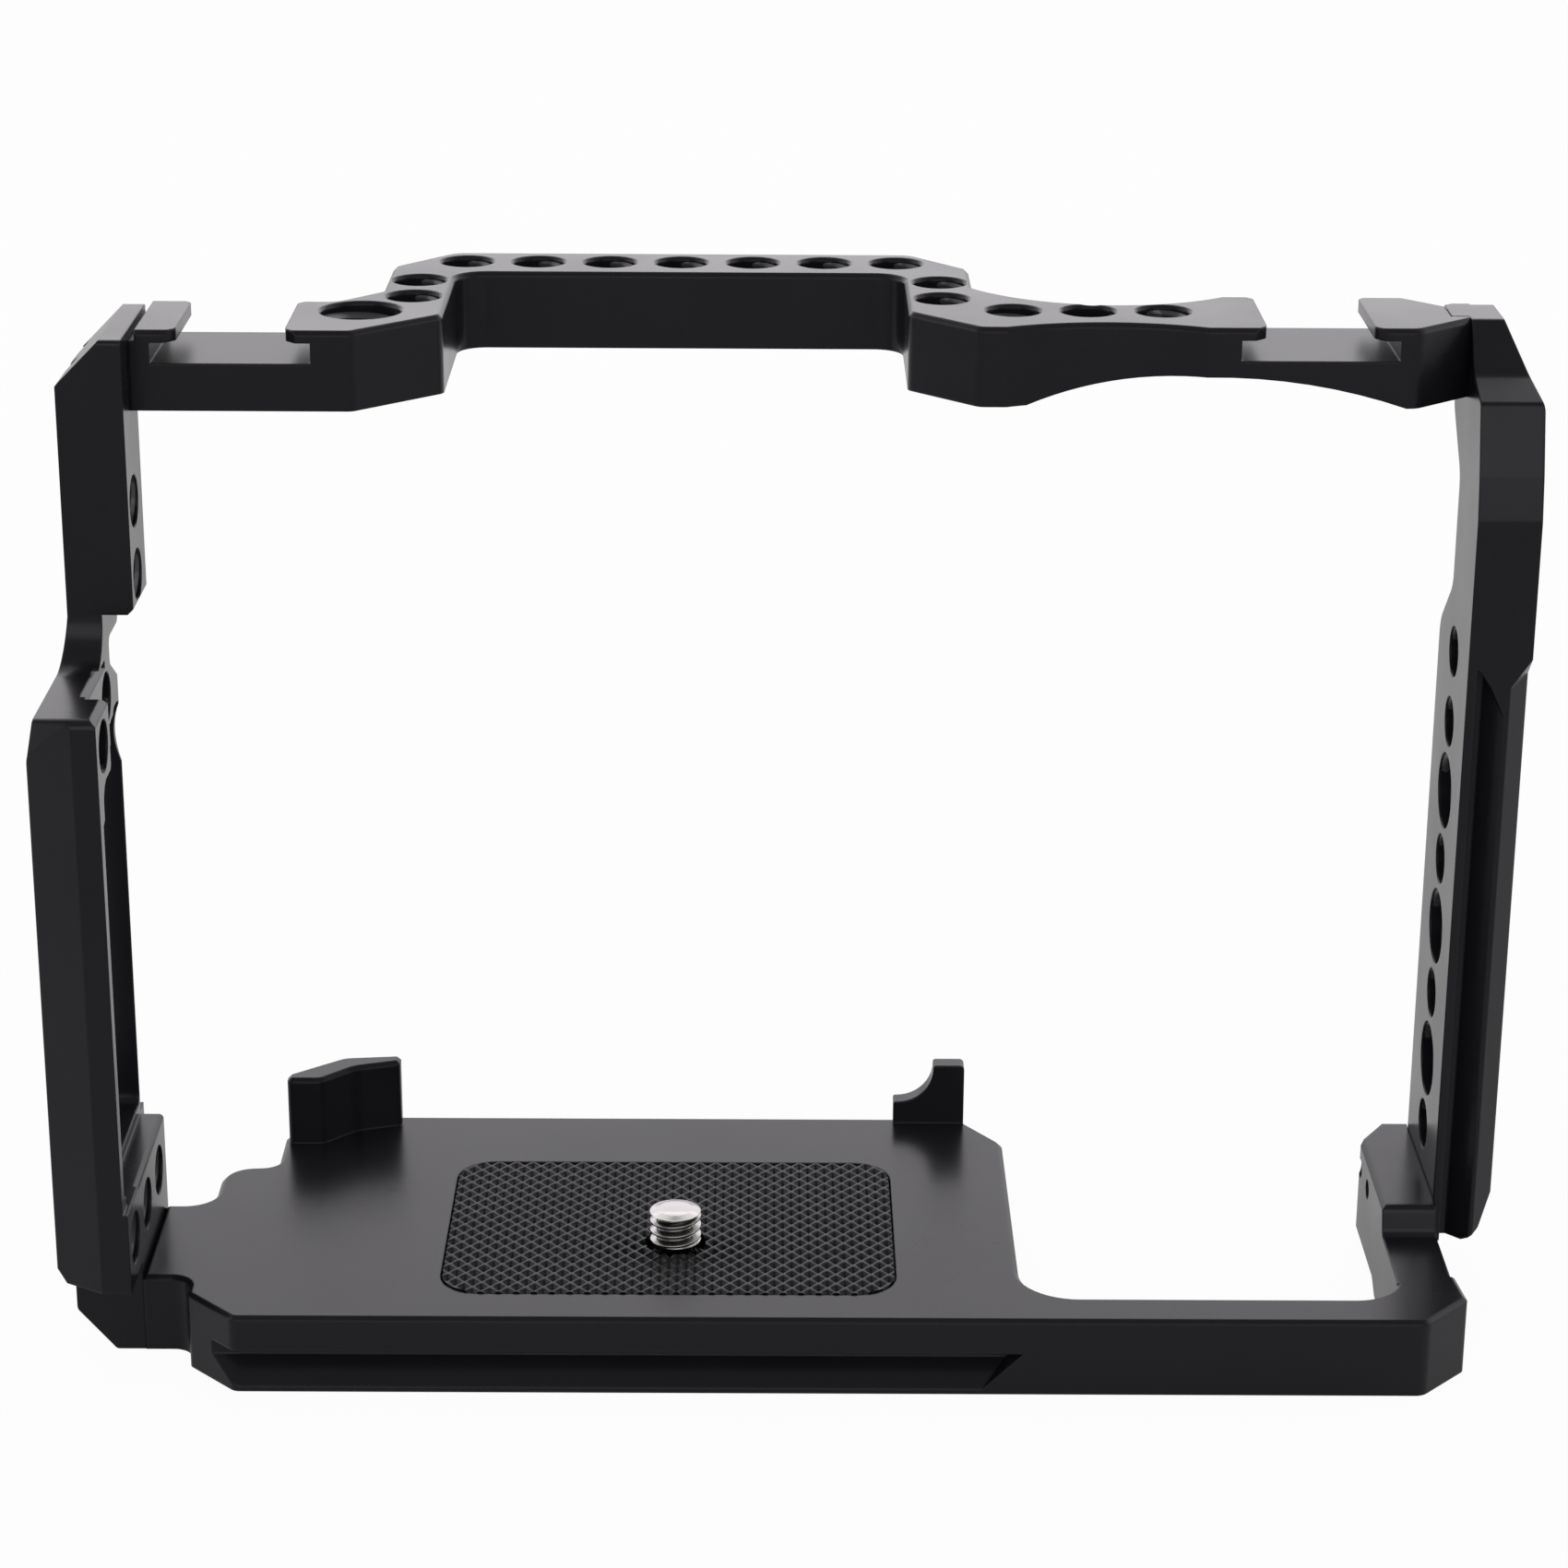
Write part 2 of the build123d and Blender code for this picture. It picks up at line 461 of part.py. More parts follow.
def top_bar():
    key_x = INNER_RIGHT_X - KEY_W - KEY_GAP
    key_y = KEY_NEAR_Y - KEY_GAP
    plan = [
        (INNER_LEFT_X, LEFT_BLOCK_NEAR_Y, 0.0),
        (LEFT_BLOCK_X, LEFT_BLOCK_NEAR_Y, 1.5),
        (-HUMP_IN_X, LEFT_BLOCK_NEAR_Y + 9.1, 1.5),
        (-HUMP_IN_X, HUMP_NEAR_Y, 3.6),
        (HUMP_IN_X, HUMP_NEAR_Y, 3.6),
        (HUMP_IN_X, RIGHT_BLOCK_NEAR_Y + 7.9, 1.5),
        (HUMP_OUT_X, RIGHT_BLOCK_NEAR_Y - 0.2, 2.0),
        (INNER_RIGHT_X - 7.0, RIGHT_BLOCK_NEAR_Y, 2.5),
        (INNER_RIGHT_X, KEY_NEAR_Y - 1.2, 0.0),
        (INNER_RIGHT_X, key_y, 0.0),
        (key_x, key_y, 0.0),
        (key_x, RIGHT_BLOCK_FAR_Y - 4.3, 0.0),
        (INNER_RIGHT_X - 6.6, RIGHT_BLOCK_FAR_Y, 1.5),
        (WAIST_FAR[0] + 12.9, RIGHT_BLOCK_FAR_Y, 0.0),
        (HUMP_OUT_X, WAIST_FAR[1] - 9.6, 0.0),
        (HUMP_OUT_X, HUMP_FAR_Y - HUMP_CORNER - 1.4, 2.0),
        (HUMP_OUT_X - HUMP_CORNER, HUMP_FAR_Y, 3.0),
        (-HUMP_OUT_X + HUMP_CORNER, HUMP_FAR_Y, 3.0),
        (-HUMP_OUT_X, HUMP_FAR_Y - HUMP_CORNER - 1.4, 2.0),
        (-HUMP_OUT_X, LEFT_BLOCK_FAR_Y + 5.8, 2.0),
        (-HUMP_OUT_X - 5.2, LEFT_BLOCK_FAR_Y, 3.0),
        (INNER_LEFT_X, LEFT_BLOCK_FAR_Y, 0.0),
    ]
    bar = along_z(plan, BAR_Z, TOP_Z)
    past_hump = block((HUMP_OUT_X, INNER_RIGHT_X), (0, 99), (BAR_Z - 1, TOP_Z + 1))
    for x, y, r in (WAIST_NEAR, WAIST_FAR):
        bar -= rod((x, y, BAR_Z - 1), "z", r, BAR_T + 2) & past_hump
    inner = (INNER_LEFT_X + 0.1, INNER_RIGHT_X - KEY_W - 1.0)
    bar = break_edges(bar, TOP_Z, EDGE_BREAK,
                      lambda e: inner[0] < e.center().X < inner[1])

    # The long arch that lightens the underside over the grip
    radius = ((ARCH_SPAN / 2) ** 2 + ARCH_RISE ** 2) / (2 * ARCH_RISE)
    arch = rod((ARCH_X, 0, BAR_Z + ARCH_RISE - radius), "y", radius, HUMP_NEAR_Y - 3)
    bar -= arch

    # Cold shoes at both ends
    bar -= shoe_cut(SHOE_LEFT_X, LEFT_BLOCK_NEAR_Y, LEFT_BLOCK_FAR_Y)
    bar -= shoe_cut(SHOE_RIGHT_X, RIGHT_BLOCK_NEAR_Y, RIGHT_BLOCK_FAR_Y)
    bar -= block((INNER_LEFT_X - 1, INNER_LEFT_X + END_GROOVE[0]),
                 (LEFT_BLOCK_NEAR_Y - 1, LEFT_BLOCK_FAR_Y + 1), (TOP_Z - END_GROOVE[1], TOP_Z + 1))

    # Accessory threads
    quarter = [(HOLE_PITCH * i, ROW_Y) for i in range(-3, 4)]
    quarter += [(ROW3_X + HOLE_PITCH * i, ROW3_Y) for i in range(3)]
    quarter += [(side * WING_HOLE_X, WING_HOLE_Y + HOLE_PITCH * i)
                for side in (-1, 1) for i in range(2)]
    for x, y in quarter:
        bar -= thread_hole((x, y, BAR_Z), "z", QUARTER_D, BAR_T, (False, True))
    bar -= thread_hole((*BIG_HOLE, BAR_Z), "z", THREE_EIGHTHS_D, BAR_T, (False, True))

    # Threads for the joint screws
    for y in TOP_LEFT_BOLTS:
        bar -= rod((INNER_LEFT_X - 1, y, TOP_LEFT_BOLT_Z), "x", M3_D / 2 + BOLT_GAP,
                   BOLT_REACH + 2)
    bar -= rod((INNER_RIGHT_X - BOLT_REACH - 1, *TOP_RIGHT_BOLT), "x", M4_D / 2 + BOLT_GAP,
               BOLT_REACH + 2)
    return bar


# ----------------------------------------------------------------------------
# Left arm
# ----------------------------------------------------------------------------

def left_arm():
    near, far = L_BLADE_NEAR_Y, L_BLADE_FAR_Y
    wide = (near - 2, L_HEAD_FAR_Y + 2)
    # Thick stem and head, flush with the end of the top bar
    arm = along_x([(L_NEAR_Y, TOP_Z, 0.6), (L_HEAD_FAR_Y, TOP_Z, 0.6),
                   (L_HEAD_FAR_Y, BAR_Z, 0.6), (L_STEM_FAR_Y, BAR_Z, 1.0),
                   (L_STEM_FAR_Y, L_STEM_Z, 0.8), (L_NEAR_Y, L_STEM_Z, 0)],
                  L_OUT_X, INNER_LEFT_X)

    # Neck, shelf and blade: one thin wall seen from the side
    join_z = L_STEM_Z + 1.0
    wall = along_x([
        (L_NEAR_Y, join_z, 0), (L_STEM_FAR_Y, join_z, 0), (L_STEM_FAR_Y, L_NECK_Z[1], 0.8),
        (L_NECK_FAR_Y, L_NECK_Z[1], 1.2), (L_NECK_FAR_Y, L_NECK_Z[0], 1.2),
        (far, L_NECK_Z[0] - 4.4, 0.8), (far, L_BLADE_BASE_Z, 1.0), (near, L_BLADE_BASE_Z, 0.8),
        (near, L_SHELF_Z, 1.2), (L_NEAR_Y, L_SHELF_Z, 5.8)], L_BLADE_OUT_X, L_WEB_X)
    lean = [(L_BLADE_OUT_X, L_SHELF_Z - L_LEAN_DROP[0], 4.0),
            (L_BLADE_OUT_X + L_LEAN_X, L_SHELF_Z, 3.0), (L_OUT_X, L_STEM_Z - L_LEAN_DROP[1], 0.0)]
    foot_z = L_SHELF_Z - L_LEAN_DROP[0] - 4.0
    wall -= along_y([(L_BLADE_OUT_X - 1, foot_z, 0), (L_BLADE_OUT_X, foot_z, 0)] + lean
                    + [(L_OUT_X, join_z + 1, 0), (L_BLADE_OUT_X - 1, join_z + 1, 0)], *wide)
    arm += wall

    # Inner lip of the near post and the boss above it
    arm += along_x([(near, L_SHELF_Z, 1.2), (L_BOSS_FAR_Y, L_SHELF_Z, 1.0),
                    (L_BOSS_FAR_Y, L_BOSS_Z, 0.8), (near + 3.0, L_BOSS_Z, 2.6),
                    (near + 3.0, FOOT_TOP_Z - 1, 0), (near, FOOT_TOP_Z - 1, 0)],
                   L_WEB_X - 0.5, L_BLADE_IN_X)
    drop = L_SHELF_BREAK
    for x, y in ((L_WEB_X, (L_BOSS_FAR_Y, L_NEAR_Y)), (L_BLADE_IN_X, (near - 1, L_BOSS_FAR_Y + 1))):
        arm -= along_y([(x - drop, L_SHELF_Z, 0), (x, L_SHELF_Z - drop, 0),
                        (x + 1, L_SHELF_Z - drop, 0), (x + 1, L_SHELF_Z + 0.2, 0),
                        (x - drop, L_SHELF_Z + 0.2, 0)], *y)

    # Foot that takes the base plate's tab
    foot = along_y([(FOOT_OUT_X, FOOT_TOP_Z, 0), (FOOT_OUT_X, PLATE_Z + FOOT_BEVEL[1], 1.0),
                    (FOOT_OUT_X + FOOT_BEVEL[0], PLATE_Z, 0.6), (FOOT_X, PLATE_Z, 0.0),
                    (FOOT_X, FOOT_TOP_Z, 0.6)], FOOT_NEAR_Y, FOOT_FAR_Y)
    foot += block((FOOT_OUT_X, FOOT_X), (near, FOOT_NEAR_Y), (L_BLADE_BASE_Z, FOOT_TOP_Z))
    arm += foot

    # Port window; its near side runs parallel to the facet
    sill, top, corner = (FOOT_TOP_Z + L_SILL, L_SHELF_Z - L_WINDOW_DROP[0],
                         L_SHELF_Z - L_WINDOW_DROP[1])
    window_far = far - L_FAR_POST
    window = along_x([(near - 2, sill, 0), (window_far, sill, 1.5), (window_far, corner, 1.2),
                      (window_far - 3.6, corner, 1.2), (window_far - 6.2, top, 2.0),
                      (L_BOSS_FAR_Y, top, 0), (near - 2, top - 4.0, 0)],
                     L_BLADE_OUT_X - 1, L_BLADE_IN_X + 1)
    slope = L_POST_LEAN / (L_BLADE_IN_X - L_BLADE_OUT_X)
    window &= along_z([(L_BLADE_IN_X + 1, near + L_POST - slope, 0),
                       (L_BLADE_OUT_X - 1, near + L_POST + L_POST_LEAN + slope, 0),
                       (L_BLADE_OUT_X - 1, far, 0), (L_BLADE_IN_X + 1, far, 0)],
                      sill - 1, corner + 1)
    arm -= window

    # The far post's inner edge is bevelled away from the window and scooped
    arm -= along_z([(L_WEB_X, far - 2.5, 0), (L_WEB_X - 2.8, far + 0.3, 0),
                    (L_WEB_X + 1, far + 0.3, 0), (L_WEB_X + 1, far - 2.5, 0)],
                   FOOT_TOP_Z, L_NECK_Z[0])
    scoop_drop, radius, depth = L_SCOOP
    arm -= rod((L_WEB_X - depth + radius, L_NEAR_Y + 1, L_SHELF_Z - scoop_drop), "y", radius,
               12)

    # Bevelled head and stem, slanted facet down the near outer edge, bevelled lower end
    arm -= along_y([(L_OUT_X - 1, TOP_Z + 1, 0),
                    (L_OUT_X + L_HEAD_BEVEL[0] + 1, TOP_Z + 1, 0),
                    (L_OUT_X + L_HEAD_BEVEL[0], TOP_Z, 0),
                    (L_OUT_X, TOP_Z - L_HEAD_BEVEL[1], 1.5),
                    (L_OUT_X - 1, TOP_Z - L_HEAD_BEVEL[1] - 3, 0)], *wide)
    arm -= along_y([(INNER_LEFT_X - 0.7, L_STEM_Z, 0), (INNER_LEFT_X, L_STEM_Z + 0.7, 0),
                    (INNER_LEFT_X + 1, L_STEM_Z, 0)], *wide)
    across, along = L_FACET
    crest = (L_BLADE_OUT_X + across, near, L_SHELF_Z)
    facet = along_z([(crest[0], near, 0), (L_BLADE_OUT_X, near + along, 0),
                     (L_BLADE_OUT_X - 1, near + along, 0), (L_BLADE_OUT_X - 1, near - 1, 0),
                     (crest[0], near - 1, 0)], L_BLADE_BASE_Z - 1, L_SHELF_Z + 1)
    fall, setback = L_HORN
    upper = Vector(-across, setback, 0)
    lower = Vector(-across, along, -fall)
    arm -= facet & half_space(crest, upper.cross(lower))
    arm -= along_y([(L_BLADE_OUT_X - 1, L_BLADE_BASE_Z + 3.0, 0), (FOOT_OUT_X, L_BLADE_BASE_Z, 0),
                    (FOOT_OUT_X, L_BLADE_BASE_Z - 1, 0),
                    (L_BLADE_OUT_X - 1, L_BLADE_BASE_Z - 1, 0)], near - 1, far + 1)

    # Accessory threads; those beside the facet are blind
    for i in range(2):
        arm -= thread_hole((L_OUT_X, STEM_HOLE_Y, L_STEM_Z + STEM_HOLE_RISE + i * HOLE_PITCH),
                           "x", QUARTER_D, L_STEM_T)
    arm -= thread_hole((L_BLADE_OUT_X, WEB_HOLE_Y, SHELF_HOLE_Z), "x", QUARTER_D,
                       L_WEB_X - L_BLADE_OUT_X)
    arm -= thread_hole((L_BLIND_X, BOSS_HOLE_Y, SHELF_HOLE_Z), "x", QUARTER_D,
                       L_BLADE_IN_X - L_BLIND_X)
    for i in (-1, 0, 1):
        arm -= thread_hole((L_BLIND_X, FOOT_HOLE_Y + i * FOOT_HOLE_PITCH, FOOT_HOLE_Z), "x",
                           QUARTER_D, FOOT_X - L_BLIND_X)

    # Recesses of the joint screws
    for y in TOP_LEFT_BOLTS:
        arm -= screw_recess(L_OUT_X - 1, INNER_LEFT_X - BOLT_WALL, INNER_LEFT_X + 1, y,
                            TOP_LEFT_BOLT_Z, M3_D, M3_HEAD_D)
    for y in FOOT_BOLTS:
        arm -= screw_recess(L_BLADE_OUT_X - 1, FOOT_X - BOLT_WALL, FOOT_X + 1, y,
                            FOOT_BOLT_Z, M3_D, M3_HEAD_D)
    return arm


# ----------------------------------------------------------------------------
# Right arm
# ----------------------------------------------------------------------------

def rail_flanks(near, sign):
    """Groove and bevel of the accessory rail on one edge of the right arm."""
    bevel_x = R_OUT_X - NATO_BEVEL
    groove_x = bevel_x - NATO_LAND
    inner_x = INNER_RIGHT_X + NATO_LIP
    low, high = NATO_TOP_Z
    groove = along_z([(groove_x, near - sign, 0), (groove_x, near, 0),
                      (groove_x - NATO_BEVEL, near + sign * NATO_BEVEL, 0.3),
                      (inner_x, near + sign * NATO_BEVEL, 0.3), (inner_x, near - sign, 0)],
                     R_BASE_Z - 1, high + 1)
    groove &= along_y([(inner_x - 1, R_BASE_Z - 1, 0), (groove_x + 1, R_BASE_Z - 1, 0),
                       (groove_x + 1, low - 1.5, 0), (groove_x, low - 0.5, 1.2),
                       (groove_x - 1.7, high - 2.4, 5.0), (inner_x + 0.3, high, 0.5),
                       (inner_x - 1, high, 0)],
                      min(near, near + sign * 4) - 2, max(near, near + sign * 4) + 2)
    bevel = along_z([(bevel_x, near, 0), (R_OUT_X + 0.5, near + sign * (NATO_BEVEL + 0.5), 0),
                     (R_OUT_X + 0.5, near - sign, 0), (bevel_x, near - sign, 0)],
                    R_BASE_Z - 1, NATO_RUNOUT_Z + 1)
    return groove + (bevel & half_space((R_OUT_X, near, NATO_RUNOUT_Z), (1.0, -0.66 * sign, -0.67)))


def right_arm():
    near, far = R_NEAR_Y, R_FAR_Y
    side = [
        (near, R_BASE_Z, 0.4), (far, R_BASE_Z, 0.4),
        (far, R_WAIST_Z[0] - 6.5, 4.0), (R_WAIST_FAR_Y, R_WAIST_Z[0], 3.5),
        (R_WAIST_FAR_Y, R_WAIST_Z[1], 4.0), (far, BAR_Z - 2.8, 3.0), (far, TOP_Z, 0.6),
        (R_HEAD_NEAR_Y, TOP_Z, 0.8), (R_HEAD_NEAR_Y - 3.8, BAR_Z + 3.8, 2.6),
        (near + 3.4, BAR_Z + 1.6, 0.8), (near + 1.0, BAR_Z - 6.6, 2.0), (near, BAR_Z - 12, 3.0),
    ]
    arm = along_x(side, INNER_RIGHT_X, R_OUT_X)

    # Head leans inwards; the lower half carries the rail; the end is bevelled
    wide = (near - 3, far + 3)
    arm -= along_y([(R_OUT_X - R_LEAN[0], TOP_Z + 0.01, 0), (R_OUT_X, TOP_Z - R_LEAN[1], 3.0),
                    (R_OUT_X, TOP_Z - R_LEAN[1] - 5, 0), (R_OUT_X + 1, TOP_Z - R_LEAN[1] - 5, 0),
                    (R_OUT_X + 1, TOP_Z + 0.01, 0)], *wide)
    arm -= along_y([(R_OUT_X + 0.5, 4.6, 0), (R_OUT_X - 1.6, -1.0, 0.8),
                    (R_OUT_X - 3.7, R_BASE_Z, 0), (R_OUT_X - 3.7, R_BASE_Z - 1, 0),
                    (R_OUT_X + 0.5, R_BASE_Z - 1, 0)], *wide)
    arm -= rail_flanks(near, 1) + rail_flanks(far, -1)

    # Key that locates the top bar
    key = block((INNER_RIGHT_X - KEY_W, INNER_RIGHT_X + 1), (KEY_NEAR_Y, far), (BAR_Z, TOP_Z))
    key -= along_z([(INNER_RIGHT_X - KEY_W - 1, far - 1.6, 0), (INNER_RIGHT_X + 0.2, far + 1, 0),
                    (INNER_RIGHT_X - KEY_W - 1, far + 1, 0)], BAR_Z - 1, TOP_Z + 1)
    arm += key

    # Accessory threads
    for i in range(R_HOLES):
        d = THREE_EIGHTHS_D if i in R_BIG_HOLES else QUARTER_D
        arm -= thread_hole((INNER_RIGHT_X, R_HOLE_Y, R_HOLE_Z - i * HOLE_PITCH), "x", d,
                           R_OUT_X - INNER_RIGHT_X)

    # Recesses of the joint screws
    arm -= screw_recess(R_OUT_X + 1, INNER_RIGHT_X + TOP_RIGHT_WALL, INNER_RIGHT_X - KEY_W - 1,
                        *TOP_RIGHT_BOLT, M4_D, M4_HEAD_D)
    for y in LUG_BOLTS:
        arm -= screw_recess(R_OUT_X + 1, INNER_RIGHT_X + BOLT_WALL, INNER_RIGHT_X - 1, y,
                            LUG_BOLT_Z, M25_D, M25_HEAD_D)
    return arm


# ----------------------------------------------------------------------------
# Joint screws
# ----------------------------------------------------------------------------

def screw_set(seam_x, side, places, d, head_d, head_h, hex_af, reach, wall=BOLT_WALL):
    """Socket screws through one arm; side is -1 on the left and 1 on the right."""
    seat_x = seam_x + side * wall
    return [socket_screw(seat_x + side * head_h, seat_x, seam_x - side * reach, y, z, d,
                         head_d, hex_af) for y, z in places]


m25 = (M25_D, M25_HEAD_D, M25_HEAD_H, M25_HEX)
m3 = (M3_D, M3_HEAD_D, M3_HEAD_H, M3_HEX)
m4 = (M4_D, M4_HEAD_D, M4_HEAD_H, M4_HEX)
top_left = [(y, TOP_LEFT_BOLT_Z) for y in TOP_LEFT_BOLTS]
foot_places = [(y, FOOT_BOLT_Z) for y in FOOT_BOLTS]
lug_places = [(y, LUG_BOLT_Z) for y in LUG_BOLTS]

pieces = {
    "bottom_plate": [base_plate()],
    "base_pad": [base_pad()],
    "camera_screw": [camera_screw()],
    "screw_washer": [screw_washer()],
    "top_bar": [top_bar()],
    "left_arm": [left_arm()],
    "right_arm": [right_arm()],
    "top_left_screws": screw_set(INNER_LEFT_X, -1, top_left, *m3, BOLT_REACH),
    "top_right_screw": screw_set(INNER_RIGHT_X, 1, [TOP_RIGHT_BOLT], *m4, BOLT_REACH,
                                 TOP_RIGHT_WALL),
    "foot_screws": screw_set(FOOT_X, -1, foot_places, *m3, BOLT_REACH),
    "lug_screws": screw_set(INNER_RIGHT_X, 1, lug_places, *m25, LUG_W - 0.9),
}

os.makedirs("parts", exist_ok=True)
for name, solids in pieces.items():
    seated = [Pos(0, 0, -PAD_PROUD) * solid for solid in solids]
    shape = Compound(children=seated) if len(seated) > 1 else seated[0]
    shape.label = name
    export_step(shape, f"parts/{name}.step")
    size = shape.bounding_box().size
    print(f"{name:18s} {size.X:7.2f} {size.Y:7.2f} {size.Z:7.2f}")
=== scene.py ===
"""Dresses the camera cage: thread forms, pad texture, turned screw, finishes, light and camera."""

import logging
from dataclasses import dataclass, field, replace
from enum import Enum

import bpy  # noqa: E402
import bmesh  # noqa: E402
import numpy as np  # noqa: E402
from mathutils import Matrix, Vector  # noqa: E402


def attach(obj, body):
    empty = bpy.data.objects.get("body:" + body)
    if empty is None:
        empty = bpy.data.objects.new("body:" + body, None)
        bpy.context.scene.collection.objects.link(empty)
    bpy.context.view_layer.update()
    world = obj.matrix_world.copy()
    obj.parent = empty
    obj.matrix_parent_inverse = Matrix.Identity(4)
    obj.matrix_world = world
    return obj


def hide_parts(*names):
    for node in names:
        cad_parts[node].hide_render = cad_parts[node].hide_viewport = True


LOG = logging.getLogger("camera_cage")

Triple = tuple[float, float, float]
Pair = tuple[float, float]
Finishes = dict[str, bpy.types.Material]

MM = 0.001
TURN = 2 * np.pi
MERGE_REACH = 1e-7
TINY = 1e-9
WHITE = (1.0, 1.0, 1.0)

CAGE = "cage"
SCREW = "camera_screw"
HOLE_PITCH = 9.0
SHOE_FLOOR_Z = 108.8


class Axis(Enum):
    """Direction in which a threaded hole runs."""

    X = "across"
    Z = "upright"


# ----------------------------------------------------------------------------
# Objects and meshes
# ----------------------------------------------------------------------------

@dataclass
class Shell:
    """Vertices and quads of one or more surfaces, in millimetres."""

    points: np.ndarray = field(default_factory=lambda: np.zeros((0, 3)))
    quads: np.ndarray = field(default_factory=lambda: np.zeros((0, 4), int))

    def add(self, other: "Shell") -> None:
        """Append another shell.

        Args:
            other: the surfaces to take in.
        """
        self.quads = np.vstack([self.quads, other.quads + len(self.points)])
        self.points = np.vstack([self.points, other.points])


def grid_quads(rows: int, cols: int, wrap_cols: bool) -> np.ndarray:
    """Faces of a grid of points: each joins a point to its right, upper right and upper neighbours.

    Args:
        rows: points along the first parameter.
        cols: points along the second parameter.
        wrap_cols: whether the last column joins the first.

    Returns:
        One row of four indices for each face.
    """
    i, j = np.meshgrid(np.arange(rows - 1), np.arange(cols if wrap_cols else cols - 1),
                       indexing="ij")
    k = (j + 1) % cols
    return np.stack([i * cols + j, i * cols + k, (i + 1) * cols + k, (i + 1) * cols + j],
                    -1).reshape(-1, 4)


def add_object(name: str, data: bpy.types.ID) -> bpy.types.Object:
    """Put new data into the scene as an object at the origin.

    Args:
        name: the object's name.
        data: its mesh, lamp or camera.

    Returns:
        The new object.
    """
    made = bpy.data.objects.new(name, data)
    bpy.context.scene.collection.objects.link(made)
    return made


def make_piece(name: str, shell: Shell, body: str, finish: bpy.types.Material,
               crisp: float) -> bpy.types.Object:
    """Turn a shell into an object that rides on a body.

    Args:
        name: the piece's name.
        shell: its surfaces in millimetres.
        body: the body that carries it.
        finish: its material.
        crisp: edges that bend by more than this many radians stay sharp.

    Returns:
        The new object, at the origin.
    """
    mesh = bpy.data.meshes.new(name)
    mesh.from_pydata((shell.points * MM).tolist(), [], shell.quads.tolist())
    work = bmesh.new()
    work.from_mesh(mesh)
    bmesh.ops.remove_doubles(work, verts=work.verts, dist=MERGE_REACH)
    bmesh.ops.dissolve_degenerate(work, edges=work.edges, dist=MERGE_REACH)
    bmesh.ops.recalc_face_normals(work, faces=work.faces)
    work.to_mesh(mesh)
    work.free()
    mesh.shade_smooth()
    mesh.set_sharp_from_angle(angle=crisp)
    piece = add_object(name, mesh)
    piece.data.materials.append(finish)
    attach(piece, body)
    LOG.info("%s: %d faces", name, len(mesh.polygons))
    return piece


def node_object(name: str) -> bpy.types.Object:
    """The object of one machined node, by its name."""
    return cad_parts[name]


def dress(name: str, finish: bpy.types.Material) -> None:
    """Give a machined node its finish.

    Args:
        name: the node.
        finish: the material.
    """
    piece = node_object(name)
    if piece.material_slots:
        for held in piece.material_slots:
            held.material = finish
    else:
        piece.data.materials.append(finish)
    LOG.info("%s dressed in %s", name, finish.name)


# ----------------------------------------------------------------------------
# Shader nodes
# ----------------------------------------------------------------------------

def math_value(tree: bpy.types.NodeTree, operation: str,
               *values: bpy.types.NodeSocket | float) -> bpy.types.NodeSocket:
    """Work out one value from others.

    Args:
        tree: the tree that gets the node.
        operation: what the node does.
        values: its inputs in order, each a socket or a plain number.

    Returns:
        The socket with the result.
    """
    made = tree.nodes.new("ShaderNodeMath")
    made.operation = operation
    for entry, value in zip(made.inputs, values):
        if isinstance(value, bpy.types.NodeSocket):
            tree.links.new(value, entry)
        else:
            entry.default_value = value
    return made.outputs["Value"]


def ramp(tree: bpy.types.NodeTree, value: bpy.types.NodeSocket, start: Pair,
         end: Pair = (0.0, 1.0)) -> bpy.types.NodeSocket:
    """Carry a value evenly from one range to another, and hold it at both ends.

    Args:
        tree: the tree that gets the node.
        value: the value to read.
        start: the range in which it counts.
        end: what it becomes at the two ends of that range.

    Returns:
        The socket with the result.
    """
    made = tree.nodes.new("ShaderNodeMapRange")
    made.inputs["From Min"].default_value, made.inputs["From Max"].default_value = start
    made.inputs["To Min"].default_value, made.inputs["To Max"].default_value = end
    tree.links.new(value, made.inputs["Value"])
    return made.outputs["Result"]


def parts_of(tree: bpy.types.NodeTree,
             vector: bpy.types.NodeSocket) -> bpy.types.bpy_prop_collection:
    """Split a vector into its X, Y and Z sockets.

    Args:
        tree: the tree that gets the node.
        vector: the socket with the vector.

    Returns:
        The three sockets, by name.
    """
    made = tree.nodes.new("ShaderNodeSeparateXYZ")
    tree.links.new(vector, made.inputs["Vector"])
    return made.outputs


def add_group(tree: bpy.types.NodeTree, group: bpy.types.NodeTree,
              values: dict[str, float]) -> bpy.types.Node:
    """Place a shared group in a tree with its own values.

    Args:
        tree: the tree that gets the node.
        group: the shared group.
        values: its inputs, by name.

    Returns:
        The new node.
    """
    made = tree.nodes.new("ShaderNodeGroup")
    made.node_tree = group
    for name, value in values.items():
        made.inputs[name].default_value = value
    return made


